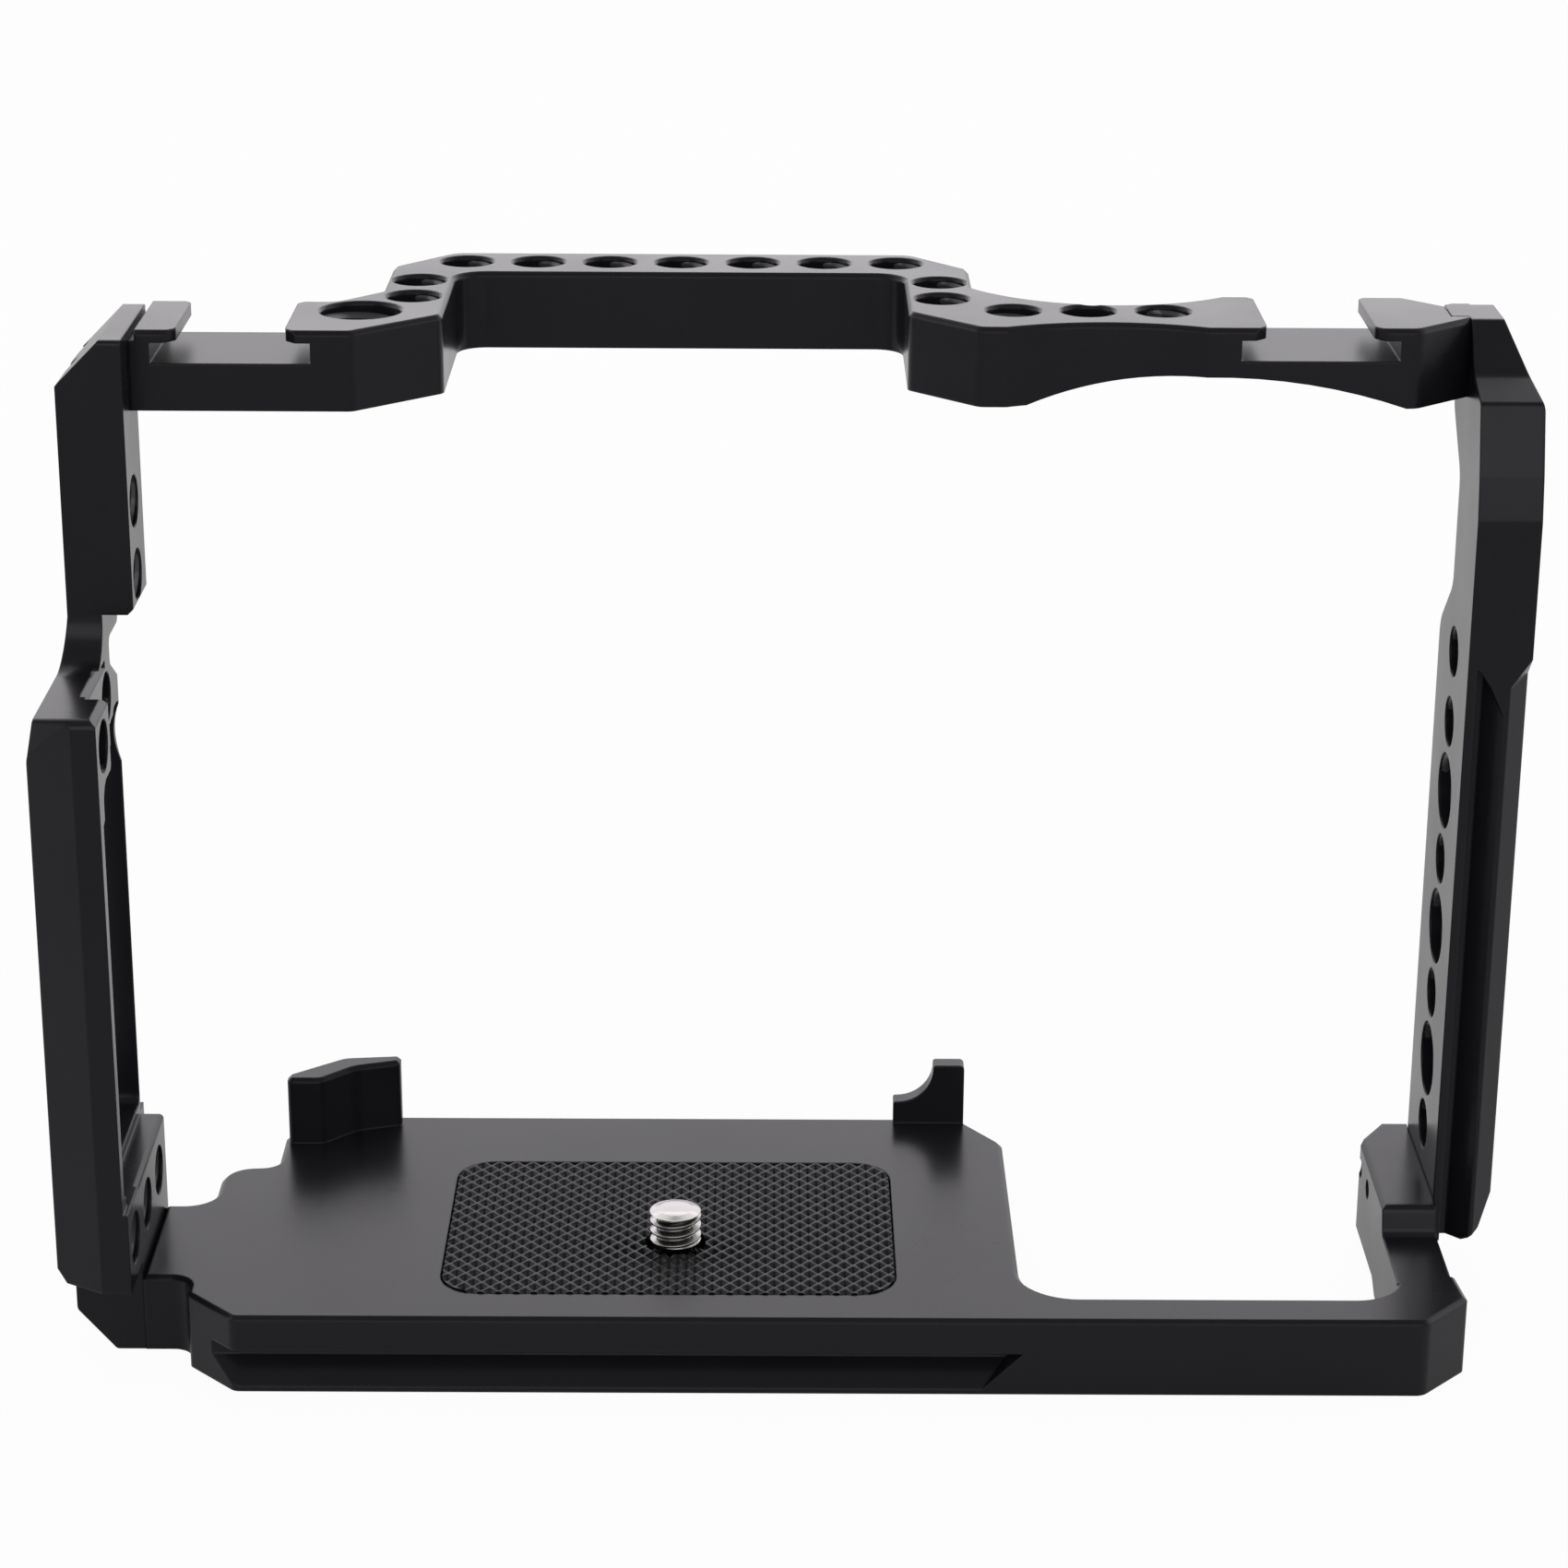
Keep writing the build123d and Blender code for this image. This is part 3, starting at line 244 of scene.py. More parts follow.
class ShaderKit:
    """Node groups that several finishes share."""

    GRAIN_DETAIL = 2.0
    CLOUD_DETAIL = 3.0
    BEVEL_SAMPLES = 6
    HEIGHT_REACH = 0.00005
    NEARLY_LEVEL = 0.9

    def __init__(self) -> None:
        """Build each group once."""
        self.grain = self._grain()
        self.edge = self._edge()
        self.level = self._level()

    @staticmethod
    def _start(name: str, entries: dict[str, float], leaves: dict[str, str]
               ) -> tuple[bpy.types.NodeTree, bpy.types.Node, bpy.types.Node]:
        """Start a group with its named sockets.

        Args:
            name: the group's name.
            entries: its inputs, all plain numbers, with their defaults.
            leaves: its outputs, each "Float" or "Vector".

        Returns:
            The group, its input node and its output node.
        """
        group = bpy.data.node_groups.new(name, "ShaderNodeTree")
        for label, value in entries.items():
            made = group.interface.new_socket(name=label, in_out="INPUT",
                                              socket_type="NodeSocketFloat")
            made.default_value = value
        for label, kind in leaves.items():
            group.interface.new_socket(name=label, in_out="OUTPUT",
                                       socket_type=f"NodeSocket{kind}")
        return group, group.nodes.new("NodeGroupInput"), group.nodes.new("NodeGroupOutput")

    def _grain(self) -> bpy.types.NodeTree:
        """Blasted-metal grain: a fine noise and a slow, cloudy one over Object coordinates.

        Returns:
            A group that puts out a height and a cloudy value.
        """
        group, entry, leave = self._start("blasted_grain",
                                          {"Grain Size": 4000.0, "Cloud Size": 60.0},
                                          {"Height": "Float", "Cloud": "Float"})
        place = group.nodes.new("ShaderNodeTexCoord")
        for size, detail, result in (("Grain Size", self.GRAIN_DETAIL, "Height"),
                                     ("Cloud Size", self.CLOUD_DETAIL, "Cloud")):
            noise = group.nodes.new("ShaderNodeTexNoise")
            noise.inputs["Detail"].default_value = detail
            group.links.new(place.outputs["Object"], noise.inputs["Vector"])
            group.links.new(entry.outputs[size], noise.inputs["Scale"])
            group.links.new(noise.outputs["Fac"], leave.inputs[result])
        return group

    def _edge(self) -> bpy.types.NodeTree:
        """Soft edge: the normal that the surface would have if its edges were broken.

        Returns:
            A group that puts out a normal.
        """
        group, entry, leave = self._start("soft_edge", {"Radius": 0.0003}, {"Normal": "Vector"})
        bevel = group.nodes.new("ShaderNodeBevel")
        bevel.samples = self.BEVEL_SAMPLES
        group.links.new(entry.outputs["Radius"], bevel.inputs["Radius"])
        group.links.new(bevel.outputs["Normal"], leave.inputs["Normal"])
        return group

    def _level(self) -> bpy.types.NodeTree:
        """Level mask: 1 on the level face of a piece that lies at one height, 0 elsewhere.

        Returns:
            A group that puts out the mask.
        """
        group, entry, leave = self._start("milled_level", {"Height": 0.0}, {"Mask": "Float"})
        place = group.nodes.new("ShaderNodeTexCoord")
        face = group.nodes.new("ShaderNodeNewGeometry")
        height = parts_of(group, place.outputs["Object"])["Z"]
        tilt = parts_of(group, face.outputs["Normal"])["Z"]
        same = math_value(group, "COMPARE", height, entry.outputs["Height"], self.HEIGHT_REACH)
        level = math_value(group, "GREATER_THAN", tilt, self.NEARLY_LEVEL)
        group.links.new(math_value(group, "MULTIPLY", same, level), leave.inputs["Mask"])
        return group


# ----------------------------------------------------------------------------
# Finishes
# ----------------------------------------------------------------------------

GLOSS_TINT = (0.975, 0.945, 1.0, 1.0)
GRAIN_STRENGTH = 0.6
CLOUD_RANGE = (0.3, 0.7)
MILLED_ROUGHER = 1.5


@dataclass(frozen=True)
class Finish:
    """A surface described by its colours, gloss and grain."""

    name: str
    dark: Triple
    light: Triple
    rough: Pair
    grain_size: float
    cloud_size: float
    bump: float
    specular: float = 0.5
    metallic: float = 0.0
    edge: float = 0.0
    milled: float | None = None

    def build(self, kit: ShaderKit) -> bpy.types.Material:
        """Make the material.

        Args:
            kit: the shared groups.

        Returns:
            A node material whose colour, roughness and bump vary over the surface.
        """
        made = bpy.data.materials.new(self.name)
        made.use_nodes = True
        tree = made.node_tree
        nodes, links = tree.nodes, tree.links
        shader = nodes["Principled BSDF"]
        shader.inputs["Metallic"].default_value = self.metallic
        shader.inputs["Specular IOR Level"].default_value = self.specular
        shader.inputs["Specular Tint"].default_value = GLOSS_TINT
        grain = add_group(tree, kit.grain,
                          {"Grain Size": self.grain_size, "Cloud Size": self.cloud_size})
        cloud = grain.outputs["Cloud"]
        tint = nodes.new("ShaderNodeMix")
        tint.data_type = "RGBA"
        tint.inputs["A"].default_value = (*self.dark, 1.0)
        tint.inputs["B"].default_value = (*self.light, 1.0)
        links.new(cloud, tint.inputs["Factor"])
        links.new(tint.outputs["Result"], shader.inputs["Base Color"])
        rough = ramp(tree, cloud, CLOUD_RANGE, self.rough)
        if self.milled is not None:
            rough = self._milled_rough(tree, kit, rough)
        links.new(rough, shader.inputs["Roughness"])
        bump = nodes.new("ShaderNodeBump")
        bump.inputs["Distance"].default_value = self.bump
        bump.inputs["Strength"].default_value = GRAIN_STRENGTH
        links.new(grain.outputs["Height"], bump.inputs["Height"])
        if self.edge:
            edge = add_group(tree, kit.edge, {"Radius": self.edge})
            links.new(edge.outputs["Normal"], bump.inputs["Normal"])
        links.new(bump.outputs["Normal"], shader.inputs["Normal"])
        return made

    def _milled_rough(self, tree: bpy.types.NodeTree, kit: ShaderKit,
                      rough: bpy.types.NodeSocket) -> bpy.types.NodeSocket:
        """Give the face that was milled last an even, duller gloss.

        Args:
            tree: the material's nodes.
            kit: the shared groups.
            rough: the roughness elsewhere.

        Returns:
            The socket with the roughness everywhere.
        """
        level = add_group(tree, kit.level, {"Height": self.milled * MM})
        blend = tree.nodes.new("ShaderNodeMix")
        blend.inputs["B"].default_value = self.rough[0] * MILLED_ROUGHER
        tree.links.new(level.outputs["Mask"], blend.inputs["Factor"])
        tree.links.new(rough, blend.inputs["A"])
        return blend.outputs["Result"]


ANODISED = Finish("anodised_black", dark=(0.0066, 0.0062, 0.0080), light=(0.0092, 0.0087, 0.0110),
                  rough=(0.22, 0.29), grain_size=6000.0, cloud_size=45.0, bump=0.000007,
                  specular=0.18, edge=0.0004)
ANODISED_BAR = replace(ANODISED, name="anodised_black_bar", milled=SHOE_FLOOR_Z)
# Thread ridges: the anodised black painted several times lighter, a painted highlight that stands in
# for light catching the crests inside the holes.
PAINTED_HIGHLIGHT_THREAD = Finish("thread_with_painted_highlight", dark=(0.034, 0.033, 0.037),
                         light=(0.044, 0.043, 0.047), rough=(0.20, 0.28), grain_size=6000.0,
                         cloud_size=90.0, bump=0.000003, edge=0.00005)
PAD_RUBBER = Finish("pad_rubber", dark=(0.0045, 0.0043, 0.0053), light=(0.0068, 0.0066, 0.0079),
                    rough=(0.24, 0.33), grain_size=5000.0, cloud_size=160.0, bump=0.000004,
                    specular=0.19)
TURNED_STEEL = Finish("bright_steel", dark=(0.32, 0.311, 0.302), light=(0.385, 0.376, 0.365),
                      rough=(0.15, 0.24), grain_size=3500.0, cloud_size=300.0, bump=0.000006,
                      metallic=1.0, edge=0.0001)
BLACK_STEEL = Finish("black_steel", dark=(0.014, 0.014, 0.015), light=(0.022, 0.022, 0.023),
                     rough=(0.32, 0.42), grain_size=5000.0, cloud_size=200.0, bump=0.000008,
                     specular=0.4, metallic=0.25, edge=0.0002)
NYLON = Finish("washer_nylon", dark=(0.70, 0.69, 0.66), light=(0.78, 0.77, 0.74),
               rough=(0.45, 0.55), grain_size=3000.0, cloud_size=150.0, bump=0.00001, edge=0.0002)


# ----------------------------------------------------------------------------
# Threads
# ----------------------------------------------------------------------------

@dataclass(frozen=True)
class ThreadForm:
    """An inch thread, in millimetres, with its depth in a nut as a share of the pitch."""

    major_r: float
    pitch: float
    nut_depth: float = 0.54

    @property
    def minor_r(self) -> float:
        """Radius at the crest of the nut thread."""
        return self.major_r - self.nut_depth * self.pitch


QUARTER = ThreadForm(3.175, 1.27)
THREE_EIGHTHS = ThreadForm(4.7625, 1.5875)


@dataclass(frozen=True)
class Hole:
    """A threaded hole: where its wall starts, which way it runs and how long it is."""

    start: Triple
    axis: Axis
    length: float
    form: ThreadForm = QUARTER


@dataclass
class HoleThreads:
    """The thread ridges of all the holes of one machined piece.

    The half widths of a ridge are shares of its pitch, at its foot and at its crest.
    """

    node: str
    holes: list[Hole]
    per_turn: int = 44
    into_wall: float = 0.06
    taper_turns: float = 0.33
    foot_half: float = 0.49
    crest_half: float = 0.11
    crisp: float = 0.5

    def ridge(self, hole: Hole) -> Shell:
        """One helical ridge.

        The ridge's section is a trapezium that stands on the hole's wall.  Each of its
        corners runs on a helix: angle t, radius r(corner), height pitch * t / turn plus
        the corner's offset.  Both ends taper into the wall over a third of a turn.

        Args:
            hole: the hole it lines.

        Returns:
            A closed shell.
        """
        form = hole.form
        turns = max(hole.length / form.pitch - 1.0, 1.0)
        steps = int(turns * self.per_turn)
        s = np.linspace(0.0, 1.0, steps + 1)
        angle = TURN * turns * s
        taper = np.clip(np.minimum(s, 1 - s) * turns / self.taper_turns, 0.0, 1.0)
        wall = np.full_like(s, form.major_r + self.into_wall)
        crest = wall - (wall - form.minor_r) * taper
        radius = np.stack([wall, crest, crest, wall], 1)
        corners = np.array([-self.foot_half, -self.crest_half, self.crest_half, self.foot_half])
        along = form.pitch * (0.5 + turns * s)[:, None] + (corners * form.pitch)[None, :]
        u, v = radius * np.cos(angle)[:, None], radius * np.sin(angle)[:, None]
        ring = np.stack([u, v, along] if hole.axis is Axis.Z else [along, u, v], -1)
        count = len(corners)
        first, last = np.arange(count)[::-1], steps * count + np.arange(count)
        return Shell(ring.reshape(-1, 3) + np.array(hole.start),
                     np.vstack([grid_quads(steps + 1, count, True), first, last]))

    def build(self, finish: bpy.types.Material) -> None:
        """Make one piece with every ridge.

        Args:
            finish: the threads' material.
        """
        shell = Shell()
        for hole in self.holes:
            shell.add(self.ridge(hole))
        make_piece(f"{self.node}_threads", shell, CAGE, finish, self.crisp)


# ----------------------------------------------------------------------------
# Sub-assemblies
# ----------------------------------------------------------------------------

@dataclass
class TopBar:
    """The top bar: the row over the viewfinder, two legs, the grip's row and one large hole.

    The threads end below the top face by lead, and the arch underneath lifts the start of
    each hole in the grip's row by its own rise.
    """

    base_z: float = 103.1
    depth: float = 9.6
    lead: float = 0.35
    row_y: float = 48.5
    row_reach: int = 3
    leg_x: float = 32.05
    leg_y: float = 28.5
    grip_x: float = 40.35
    grip_y: float = 22.3
    arch_rises: tuple[float, ...] = (0.6, 2.75, 3.7)
    large_x: float = -37.7
    large_y: float = 20.6

    def holes(self) -> list[Hole]:
        """Every threaded hole of the bar.

        Returns:
            The holes, from the underside upwards.
        """
        low, length = self.base_z, self.depth - self.lead
        places = [(HOLE_PITCH * i, self.row_y) for i in range(-self.row_reach, self.row_reach + 1)]
        places += [(side * self.leg_x, self.leg_y + HOLE_PITCH * i)
                   for side in (-1, 1) for i in range(2)]
        made = [Hole((x, y, low), Axis.Z, length) for x, y in places]
        made += [Hole((self.grip_x + HOLE_PITCH * i, self.grip_y, low + rise), Axis.Z,
                      length - rise) for i, rise in enumerate(self.arch_rises)]
        made.append(Hole((self.large_x, self.large_y, low), Axis.Z, length, THREE_EIGHTHS))
        return made

    def build(self, finishes: Finishes) -> None:
        """Dress the bar.

        Args:
            finishes: materials by name.
        """
        dress("top_bar", finishes["anodised_black_bar"])
        HoleThreads("top_bar", self.holes()).build(finishes["thread_with_painted_highlight"])


@dataclass
class GripArm:
    """The grip-side arm and its column of holes; large tells which of them, from the top, are wide."""

    inner_x: float = 94.84
    outer_x: float = 102.5
    column_y: float = 16.5
    column_top_z: float = 71.9
    count: int = 8
    large: tuple[int, ...] = (2, 4, 6)

    def holes(self) -> list[Hole]:
        """The column, from its top down.

        Returns:
            The holes, from the inner face outwards.
        """
        return [Hole((self.inner_x, self.column_y, self.column_top_z - HOLE_PITCH * i), Axis.X,
                     self.outer_x - self.inner_x, THREE_EIGHTHS if i in self.large else QUARTER)
                for i in range(self.count)]

    def build(self, finishes: Finishes) -> None:
        """Dress the arm.

        Args:
            finishes: materials by name.
        """
        dress("right_arm", finishes["anodised_black"])
        HoleThreads("right_arm", self.holes()).build(finishes["thread_with_painted_highlight"])


@dataclass
class PortArm:
    """The port-side arm, with holes in its stem, its foot, its neck and its boss.

    The foot's and the boss's holes are blind, so their threads start inside the wall.
    """

    stem_x: float = -71.75
    stem_y: float = 8.3
    stem_top_z: float = 92.4
    stem_length: float = 7.85
    blind_x: float = -70.1
    foot_y: float = -3.9
    foot_pitch: float = 9.5
    foot_z: float = 6.7
    foot_length: float = 5.5
    shelf_z: float = 69.3
    neck_x: float = -72.7
    neck_y: float = 4.0
    neck_length: float = 5.05
    boss_y: float = -13.6
    boss_length: float = 4.9

    def holes(self) -> list[Hole]:
        """Every threaded hole of the arm.

        Returns:
            The holes, from the outer side inwards.
        """
        stem = [Hole((self.stem_x, self.stem_y, self.stem_top_z - HOLE_PITCH * i), Axis.X,
                     self.stem_length) for i in range(2)]
        foot = [Hole((self.blind_x, self.foot_y + self.foot_pitch * i, self.foot_z), Axis.X,
                     self.foot_length) for i in (-1, 0, 1)]
        neck = Hole((self.neck_x, self.neck_y, self.shelf_z), Axis.X, self.neck_length)
        boss = Hole((self.blind_x, self.boss_y, self.shelf_z), Axis.X, self.boss_length)
        return [*stem, *foot, neck, boss]

    def build(self, finishes: Finishes) -> None:
        """Dress the arm.

        Args:
            finishes: materials by name.
        """
        dress("left_arm", finishes["anodised_black"])
        HoleThreads("left_arm", self.holes()).build(finishes["thread_with_painted_highlight"])


@dataclass
class Pad:
    """The rubber pad: a sheet of diamond pits between crossing ridges.

    The ridge's half width and the pit floor's edge are shares of a cell.
    """

    width: float = 55.1
    depth: float = 36.9
    centre_x: float = -0.65
    centre_y: float = 4.4
    corner: float = 4.75
    hole_r: float = 3.8
    cell_x: float = 2.15
    cell_y: float = 2.45
    pit: float = 0.7
    ridge: float = 0.07
    pit_floor: float = 0.42
    per_cell: int = 10
    margin: int = 3
    skirt: float = 1.3
    thickness: float = 0.3
    crisp: float = 1.1

    def height(self, x: np.ndarray, y: np.ndarray) -> np.ndarray:
        """Relief under the pad's top face.

        Two families of ridges run where x / cell_x plus or minus y / cell_y is whole.
        Between four ridges the rubber sinks evenly, as an upturned pyramid does, from
        the ridge's flat crest to a small flat in the pit's middle.

        Args:
            x: across.
            y: along.

        Returns:
            Height, 0 on the crests and negative in the pits.
        """
        a, b = x / self.cell_x + y / self.cell_y, x / self.cell_x - y / self.cell_y
        off = np.minimum(np.abs(a - np.round(a)), np.abs(b - np.round(b)))
        return -self.pit * np.clip((off - self.ridge) / (self.pit_floor - self.ridge), 0.0, 1.0)

    def sheet(self) -> Shell:
        """The relief on a grid, trimmed to the pad's outline and to the screw's hole.

        Points outside the rounded outline are drawn back onto it, and points inside
        the screw's hole are pushed out to its rim; faces wholly off the pad go.

        Returns:
            An open sheet.
        """
        cols = int(self.width / self.cell_x * self.per_cell) + self.margin
        rows = int(self.depth / self.cell_y * self.per_cell) + self.margin
        step = np.array([self.cell_x, self.cell_y]) / self.per_cell
        x, y = np.meshgrid((np.arange(cols) - cols // 2) * step[0],
                           (np.arange(rows) - rows // 2) * step[1])
        flat = np.stack([x.ravel(), y.ravel()], 1)
        half = np.array([self.width / 2 - self.corner, self.depth / 2 - self.corner])
        core = np.clip(flat, -half, half)
        away = flat - core
        reach = np.maximum(np.linalg.norm(away, axis=1), TINY)
        outside = reach > self.corner
        pull = np.where(outside, self.corner / reach, 1.0)[:, None]
        centre = np.array([self.centre_x, self.centre_y])
        spot = core + away * pull + centre
        from_screw = np.maximum(np.linalg.norm(spot, axis=1), TINY)
        within = from_screw < self.hole_r
        spot = np.where(within[:, None], spot * (self.hole_r / from_screw)[:, None], spot)
        quads = grid_quads(rows, cols, False)
        gone = (outside | within)[quads].all(axis=1)
        return Shell(np.column_stack([spot, self.height(*(spot - centre).T)]), quads[~gone])

    def add_sides(self, mesh: bpy.types.Mesh) -> None:
        """Draw the sheet's open edges down into upright sides, one face for each edge.

        Args:
            mesh: the sheet.
        """
        work = bmesh.new()
        work.from_mesh(mesh)
        rim = [loop for face in work.faces for loop in face.loops if loop.edge.is_boundary]
        foot_z = -self.skirt * MM
        foot = {loop.vert: work.verts.new((loop.vert.co.x, loop.vert.co.y, foot_z))
                for loop in rim}
        for loop in rim:
            here, there = loop.vert, loop.link_loop_next.vert
            side = work.faces.new((there, here, foot[here], foot[there]))
            side.smooth = True
        work.to_mesh(mesh)
        work.free()
        mesh.set_sharp_from_angle(angle=self.crisp)

    def build(self, finish: bpy.types.Material) -> None:
        """Make the pad.

        Args:
            finish: the rubber.
        """
        piece = make_piece("pad_sheet", self.sheet(), CAGE, finish, self.crisp)
        self.add_sides(piece.data)
        solid = piece.modifiers.new("thickness", "SOLIDIFY")
        solid.thickness = self.thickness * MM
        solid.offset = -1.0
        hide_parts("base_pad")


@dataclass
class CaptiveScrew:
    """The captive camera screw: a turned and threaded shank on the machined head.

    The thread's flat and its depth are shares of the pitch, and its run-in and run-out
    say how fast it starts above the collar and ends below the tip.
    """

    form: ThreadForm = QUARTER
    shank_low: float = 0.3
    collar: float = 0.08
    tip: float = 4.4
    tip_r: float = 2.05
    rim_r: float = 3.0
    lead: float = 0.3
    cone_share: float = 0.97
    cone_rows: int = 12
    started: float = 0.26
    flat: float = 0.14
    thread_depth: float = 0.58
    run_in: float = 12.0
    run_out: float = 30.0
    neck_r: float = 2.45
    cut_z: float = -3.0
    overlap: float = 0.4
    per_turn: int = 96
    rows: int = 150
    shank_crisp: float = 0.7
    head_crisp: float = 0.6

    def profile(self) -> tuple[np.ndarray, np.ndarray, np.ndarray]:
        """The lathe profile without its thread, from the neck up to the tip's middle.

        Returns:
            Heights, radii and how deep the thread may cut at each, between 0 and 1.  Above
            the thread a flat cone runs in from the rim to the tip.
        """
        up = np.linspace(0.0, 1.0, self.rows)
        inwards = np.linspace(1.0, 0.0, self.cone_rows)
        foot = self.cut_z - self.overlap
        shank_z = self.shank_low + (self.tip - self.lead - self.shank_low) * up
        cone_z = self.tip - self.lead * self.cone_share * inwards
        cone_r = self.tip_r + (self.rim_r - self.tip_r) * inwards
        cut = np.clip(np.minimum(self.run_in * up, self.run_out * (1 - up)), 0.0, 1.0)
        z = np.concatenate([[foot, foot, self.shank_low - self.collar], shank_z, cone_z,
                            [self.tip]])
        r = np.concatenate([[0.0, self.neck_r, self.neck_r],
                            np.full(self.rows, self.form.major_r), cone_r, [0.0]])
        depth = np.concatenate([np.zeros(3), cut, np.zeros(self.cone_rows + 1)])
        return z, r, depth

    def shank(self) -> Shell:
        """The threaded shank.

        Around the axis the radius is the profile less the thread's cut, which is a
        V: zero on the crest's flat, full in the root, and moving up by one pitch for
        each turn.

        Returns:
            A closed shell.
        """
        z, r, depth = self.profile()
        angle = np.linspace(0, TURN, self.per_turn, endpoint=False)
        phase = (z[:, None] / self.form.pitch - angle[None, :] / TURN + self.started) % 1.0
        from_root = np.abs(phase - 0.5) * 2.0
        cut = np.clip((1.0 - self.flat - from_root) / (1.0 - 2 * self.flat), 0.0, 1.0)
        radius = r[:, None] - depth[:, None] * cut * self.thread_depth * self.form.pitch
        radius = np.maximum(radius, np.minimum(r, self.neck_r)[:, None])
        ring = np.stack([radius * np.cos(angle), radius * np.sin(angle),
                         np.broadcast_to(z[:, None], radius.shape)], -1)
        return Shell(ring.reshape(-1, 3), grid_quads(len(z), self.per_turn, True))

    def add_head(self, shank: bpy.types.Object) -> None:
        """Join the machined head, cut from a merged copy of its node just above the neck.

        Args:
            shank: the threaded piece, which receives the head.
        """
        work = bmesh.new()
        work.from_mesh(node_object(SCREW).data)
        bmesh.ops.remove_doubles(work, verts=work.verts, dist=MERGE_REACH)
        plane = (0.0, 0.0, self.cut_z * MM)
        cut = bmesh.ops.bisect_plane(work, geom=work.verts[:] + work.edges[:] + work.faces[:],
                                     plane_co=plane, plane_no=(0, 0, 1), clear_outer=True)
        rim = [edge for edge in cut["geom_cut"] if isinstance(edge, bmesh.types.BMEdge)]
        bmesh.ops.holes_fill(work, edges=rim)
        for face in work.faces:
            face.material_index = 0
        work.from_mesh(shank.data)
        for face in work.faces:
            face.smooth = True
        work.to_mesh(shank.data)
        work.free()
        shank.data.set_sharp_from_angle(angle=self.head_crisp)

    def build(self, finish: bpy.types.Material) -> None:
        """Make the screw.

        Args:
            finish: the steel.
        """
        shank = make_piece("captive_screw", self.shank(), SCREW, finish,
                           self.shank_crisp)
        self.add_head(shank)
        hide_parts(SCREW)


@dataclass
class BasePlate:
    """The base plate, its tripod threads, the pad and the captive screw."""

    tripod_x: float = 16.0
    underside_z: float = -10.1
    tripod_length: float = 6.4

    def build(self, finishes: Finishes) -> None:
        """Dress the plate and what sits in it.

        Args:
            finishes: materials by name.
        """
        dress("bottom_plate", finishes["anodised_black"])
        holes = [Hole((x, 0.0, self.underside_z), Axis.Z, self.tripod_length, form)
                 for x, form in ((-self.tripod_x, QUARTER), (self.tripod_x, THREE_EIGHTHS))]
        HoleThreads("bottom_plate", holes).build(finishes["thread_with_painted_highlight"])
        Pad().build(finishes["pad_rubber"])
        CaptiveScrew().build(finishes["bright_steel"])
        dress("screw_washer", finishes["washer_nylon"])


@dataclass
class JointScrews:
    """The socket screws that hold the four machined pieces together."""

    nodes: tuple[str, ...] = ("top_left_screws", "top_right_screw", "foot_screws", "lug_screws")

    def build(self, finishes: Finishes) -> None:
        """Dress every screw.

        Args:
            finishes: materials by name.
        """
        for name in self.nodes:
            dress(name, finishes["black_steel"])


# ----------------------------------------------------------------------------
# Studio
# ----------------------------------------------------------------------------

@dataclass(frozen=True)
class Lamp:
    """A rectangular soft lamp: its place, its width and height, its watts and its colour."""

    name: str
    place: Triple
    size: Pair
    power: float
    colour: Triple = WHITE

    def hang(self, middle: Triple) -> None:
        """Hang the lamp out of sight, facing the cage.

        Args:
            middle: the point that it faces.
        """
        light = bpy.data.lights.new(self.name, "AREA")
        light.shape = "RECTANGLE"
        light.size, light.size_y = self.size
        light.energy, light.color = self.power, self.colour
        holder = add_object(self.name, light)
        holder.location = self.place
        aim = Vector(middle) - Vector(self.place)
        holder.rotation_euler = aim.to_track_quat("-Z", "Y").to_euler()
        holder.visible_camera = False


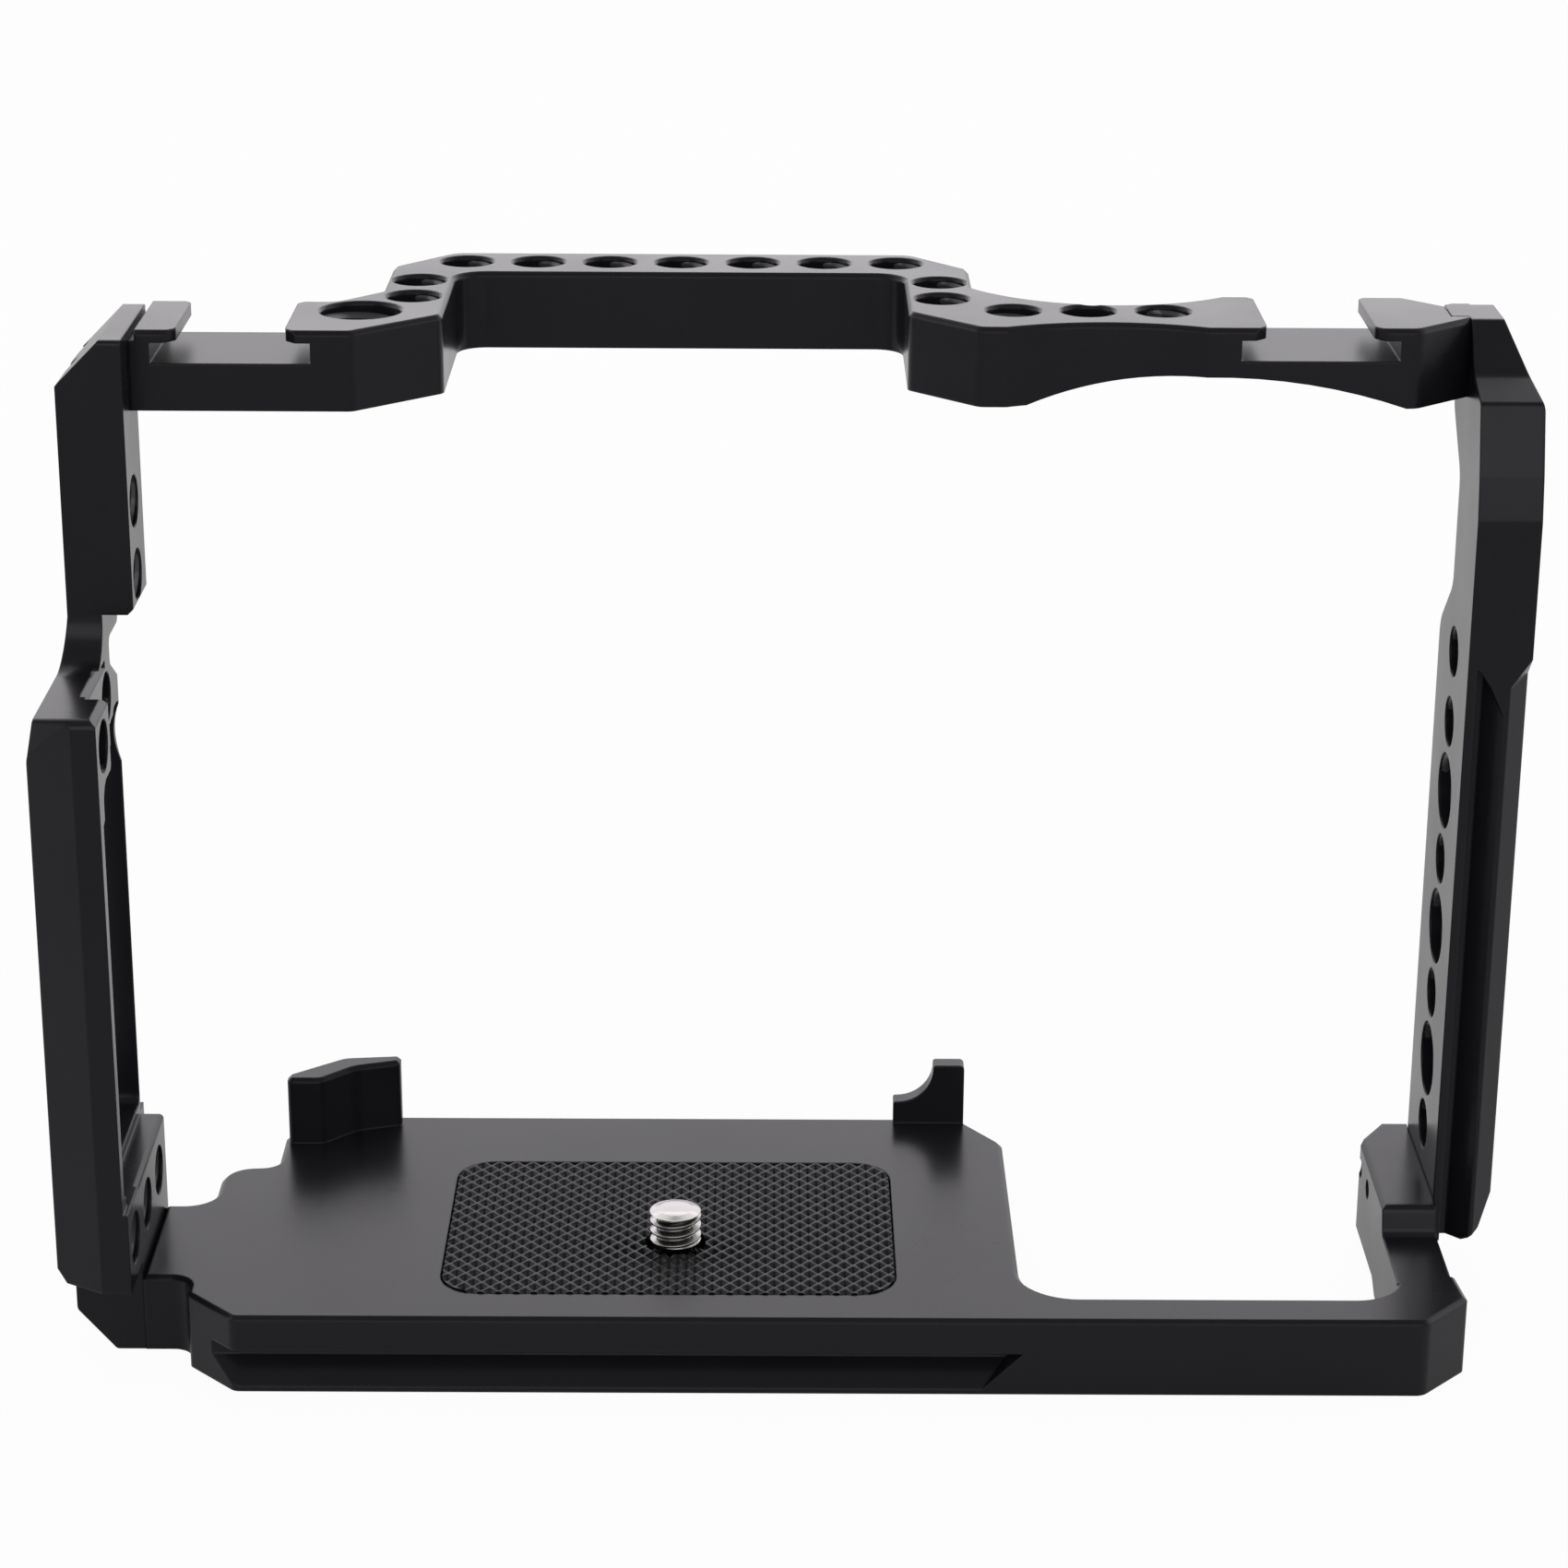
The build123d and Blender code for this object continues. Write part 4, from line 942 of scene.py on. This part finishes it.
@dataclass
class Studio:
    """Floor, soft light and the camera, in metres and radians.

    Rays that show the background meet plain white, while rays that carry its light meet
    something dimmer.  In reflections the table fades towards the front between the two
    places of table_y, the world fades towards the front between the two headings of
    behind_y, and towards the zenith between those of zenith_z.
    """

    eye: Triple = (0.01121, -0.44279, 0.21816)
    down: float = 0.34263
    turn: float = 0.0043
    roll: float = 0.0061
    focal: float = 90.68
    sensor: float = 36.0
    near: float = 0.01
    floor_z: float = -0.01015
    floor_reach: float = 4.0
    paper: float = 0.65
    paper_rough: float = 0.9
    paper_specular: float = 0.1
    seen_white: float = 0.96
    mirrored_white: float = 0.95
    table_y: Pair = (-0.22, 0.20)
    fill: float = 0.42
    behind_y: Pair = (-0.7, 0.3)
    zenith_z: Pair = (0.5, 0.9)
    middle: Triple = (0.015, 0.01, 0.05)
    lamps: tuple[Lamp, ...] = (
        Lamp("overhead", (0.0, 0.75, 0.95), (1.2, 0.7), 3.5),
        Lamp("back", (0.0, 1.5, 0.68), (2.4, 0.9), 7.0, (0.985, 0.935, 1.0)),
        Lamp("left_wall", (-0.9, 0.1, 0.35), (0.7, 0.7), 2.0),
        Lamp("right_wall", (0.9, 0.1, 0.35), (0.7, 0.7), 2.0),
        Lamp("front", (0.0, -1.10, 0.48), (1.6, 0.7), 5.5))

    def camera(self) -> None:
        """Place the camera: forwards is the turned and lowered +Y, then a small roll."""
        cos, sin = np.cos, np.sin
        ahead = np.array([sin(self.turn) * cos(self.down), cos(self.turn) * cos(self.down),
                          -sin(self.down)])
        right = np.array([cos(self.turn), -sin(self.turn), 0.0])
        up = np.cross(right, ahead)
        image_x = right * cos(self.roll) + up * sin(self.roll)
        image_y = -right * sin(self.roll) + up * cos(self.roll)
        view = bpy.data.cameras.new("view")
        view.lens, view.sensor_width, view.clip_start = self.focal, self.sensor, self.near
        holder = add_object("view", view)
        stand = Matrix(np.column_stack([image_x, image_y, -ahead]).tolist()).to_4x4()
        stand.translation = Vector(self.eye)
        holder.matrix_world = stand
        bpy.context.scene.camera = holder

    @staticmethod
    def white_share(tree: bpy.types.NodeTree, straight: float, mirrored: float,
                    falloff: bpy.types.NodeSocket) -> bpy.types.NodeSocket:
        """Tell rays that show the background from rays that carry its light.

        Args:
            tree: the floor's or the world's nodes.
            straight: share of plain white for camera and transmission rays.
            mirrored: share of plain white for glossy rays.
            falloff: a factor that the glossy share is multiplied by.

        Returns:
            The socket with the share of plain white.
        """
        ray = tree.nodes.new("ShaderNodeLightPath")
        seen, through = (math_value(tree, "MULTIPLY", ray.outputs[name], straight)
                         for name in ("Is Camera Ray", "Is Transmission Ray"))
        glossy = math_value(tree, "MULTIPLY", ray.outputs["Is Glossy Ray"], mirrored)
        glossy = math_value(tree, "MULTIPLY", glossy, falloff)
        return math_value(tree, "MAXIMUM", math_value(tree, "MAXIMUM", seen, through), glossy)

    @staticmethod
    def put_out(tree: bpy.types.NodeTree, output: str, share: bpy.types.NodeSocket,
                dim: bpy.types.NodeSocket, white: bpy.types.NodeSocket) -> None:
        """Blend the dim shader with the white one, and connect the result.

        Args:
            tree: the floor's or the world's nodes.
            output: the name of its output node.
            share: the share of white.
            dim: the shader that carries light.
            white: the shader that shows.
        """
        mix = tree.nodes.new("ShaderNodeMixShader")
        for entry, value in zip(mix.inputs, (share, dim, white)):
            tree.links.new(value, entry)
        tree.links.new(mix.outputs["Shader"], tree.nodes[output].inputs["Surface"])

    def floor(self) -> None:
        """A wide white floor that looks evenly white and keeps the shadow."""
        mesh = bpy.data.meshes.new("floor")
        mesh.from_pydata([(x * self.floor_reach, y * self.floor_reach, self.floor_z)
                          for x, y in ((-1, -1), (1, -1), (1, 1), (-1, 1))], [], [(0, 1, 2, 3)])
        paper = bpy.data.materials.new("floor_paper")
        paper.use_nodes = True
        tree = paper.node_tree
        shader = tree.nodes["Principled BSDF"]
        shader.inputs["Base Color"].default_value = (self.paper, self.paper, self.paper, 1.0)
        shader.inputs["Roughness"].default_value = self.paper_rough
        shader.inputs["Specular IOR Level"].default_value = self.paper_specular
        place = tree.nodes.new("ShaderNodeTexCoord")
        falloff = ramp(tree, parts_of(tree, place.outputs["Object"])["Y"], self.table_y)
        share = self.white_share(tree, self.seen_white, self.mirrored_white, falloff)
        white = tree.nodes.new("ShaderNodeEmission")
        self.put_out(tree, "Material Output", share, shader.outputs["BSDF"],
                     white.outputs["Emission"])
        ground = add_object("floor", mesh)
        ground.data.materials.append(paper)

    def world(self) -> None:
        """White to the camera, white in reflections of what lies behind, dimmer as a light."""
        world = bpy.data.worlds.new("studio")
        world.use_nodes = True
        tree = world.node_tree
        fill, white = tree.nodes["Background"], tree.nodes.new("ShaderNodeBackground")
        for sky, strength in ((fill, self.fill), (white, 1.0)):
            sky.inputs["Color"].default_value = (*WHITE, 1.0)
            sky.inputs["Strength"].default_value = strength
        place = tree.nodes.new("ShaderNodeTexCoord")
        heading = parts_of(tree, place.outputs["Generated"])
        falloff = math_value(tree, "MULTIPLY", ramp(tree, heading["Y"], self.behind_y),
                             ramp(tree, heading["Z"], self.zenith_z, (1.0, 0.0)))
        share = self.white_share(tree, 1.0, 1.0, falloff)
        self.put_out(tree, "World Output", share, fill.outputs["Background"],
                     white.outputs["Background"])
        bpy.context.scene.world = world

    def build(self) -> None:
        """Set everything up."""
        bpy.context.scene.view_settings.view_transform = "Standard"
        self.world()
        self.floor()
        for lamp in self.lamps:
            lamp.hang(self.middle)
        self.camera()


def main() -> None:
    """Build the classes in order and report each piece."""
    logging.basicConfig(level=logging.INFO, format="%(message)s")
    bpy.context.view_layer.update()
    kit = ShaderKit()
    finishes = {finish.name: finish.build(kit)
                for finish in (ANODISED, ANODISED_BAR, PAINTED_HIGHLIGHT_THREAD, PAD_RUBBER,
                               TURNED_STEEL, BLACK_STEEL, NYLON)}
    Studio().build()
    for part in (TopBar(), GripArm(), PortArm(), BasePlate(), JointScrews()):
        part.build(finishes)


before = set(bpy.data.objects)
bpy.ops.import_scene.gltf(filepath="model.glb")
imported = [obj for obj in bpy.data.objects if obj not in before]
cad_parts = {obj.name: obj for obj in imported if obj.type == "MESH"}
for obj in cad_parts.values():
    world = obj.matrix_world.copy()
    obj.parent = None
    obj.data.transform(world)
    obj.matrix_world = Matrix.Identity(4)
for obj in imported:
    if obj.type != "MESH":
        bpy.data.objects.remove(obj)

if __name__ == "__main__":
    main()
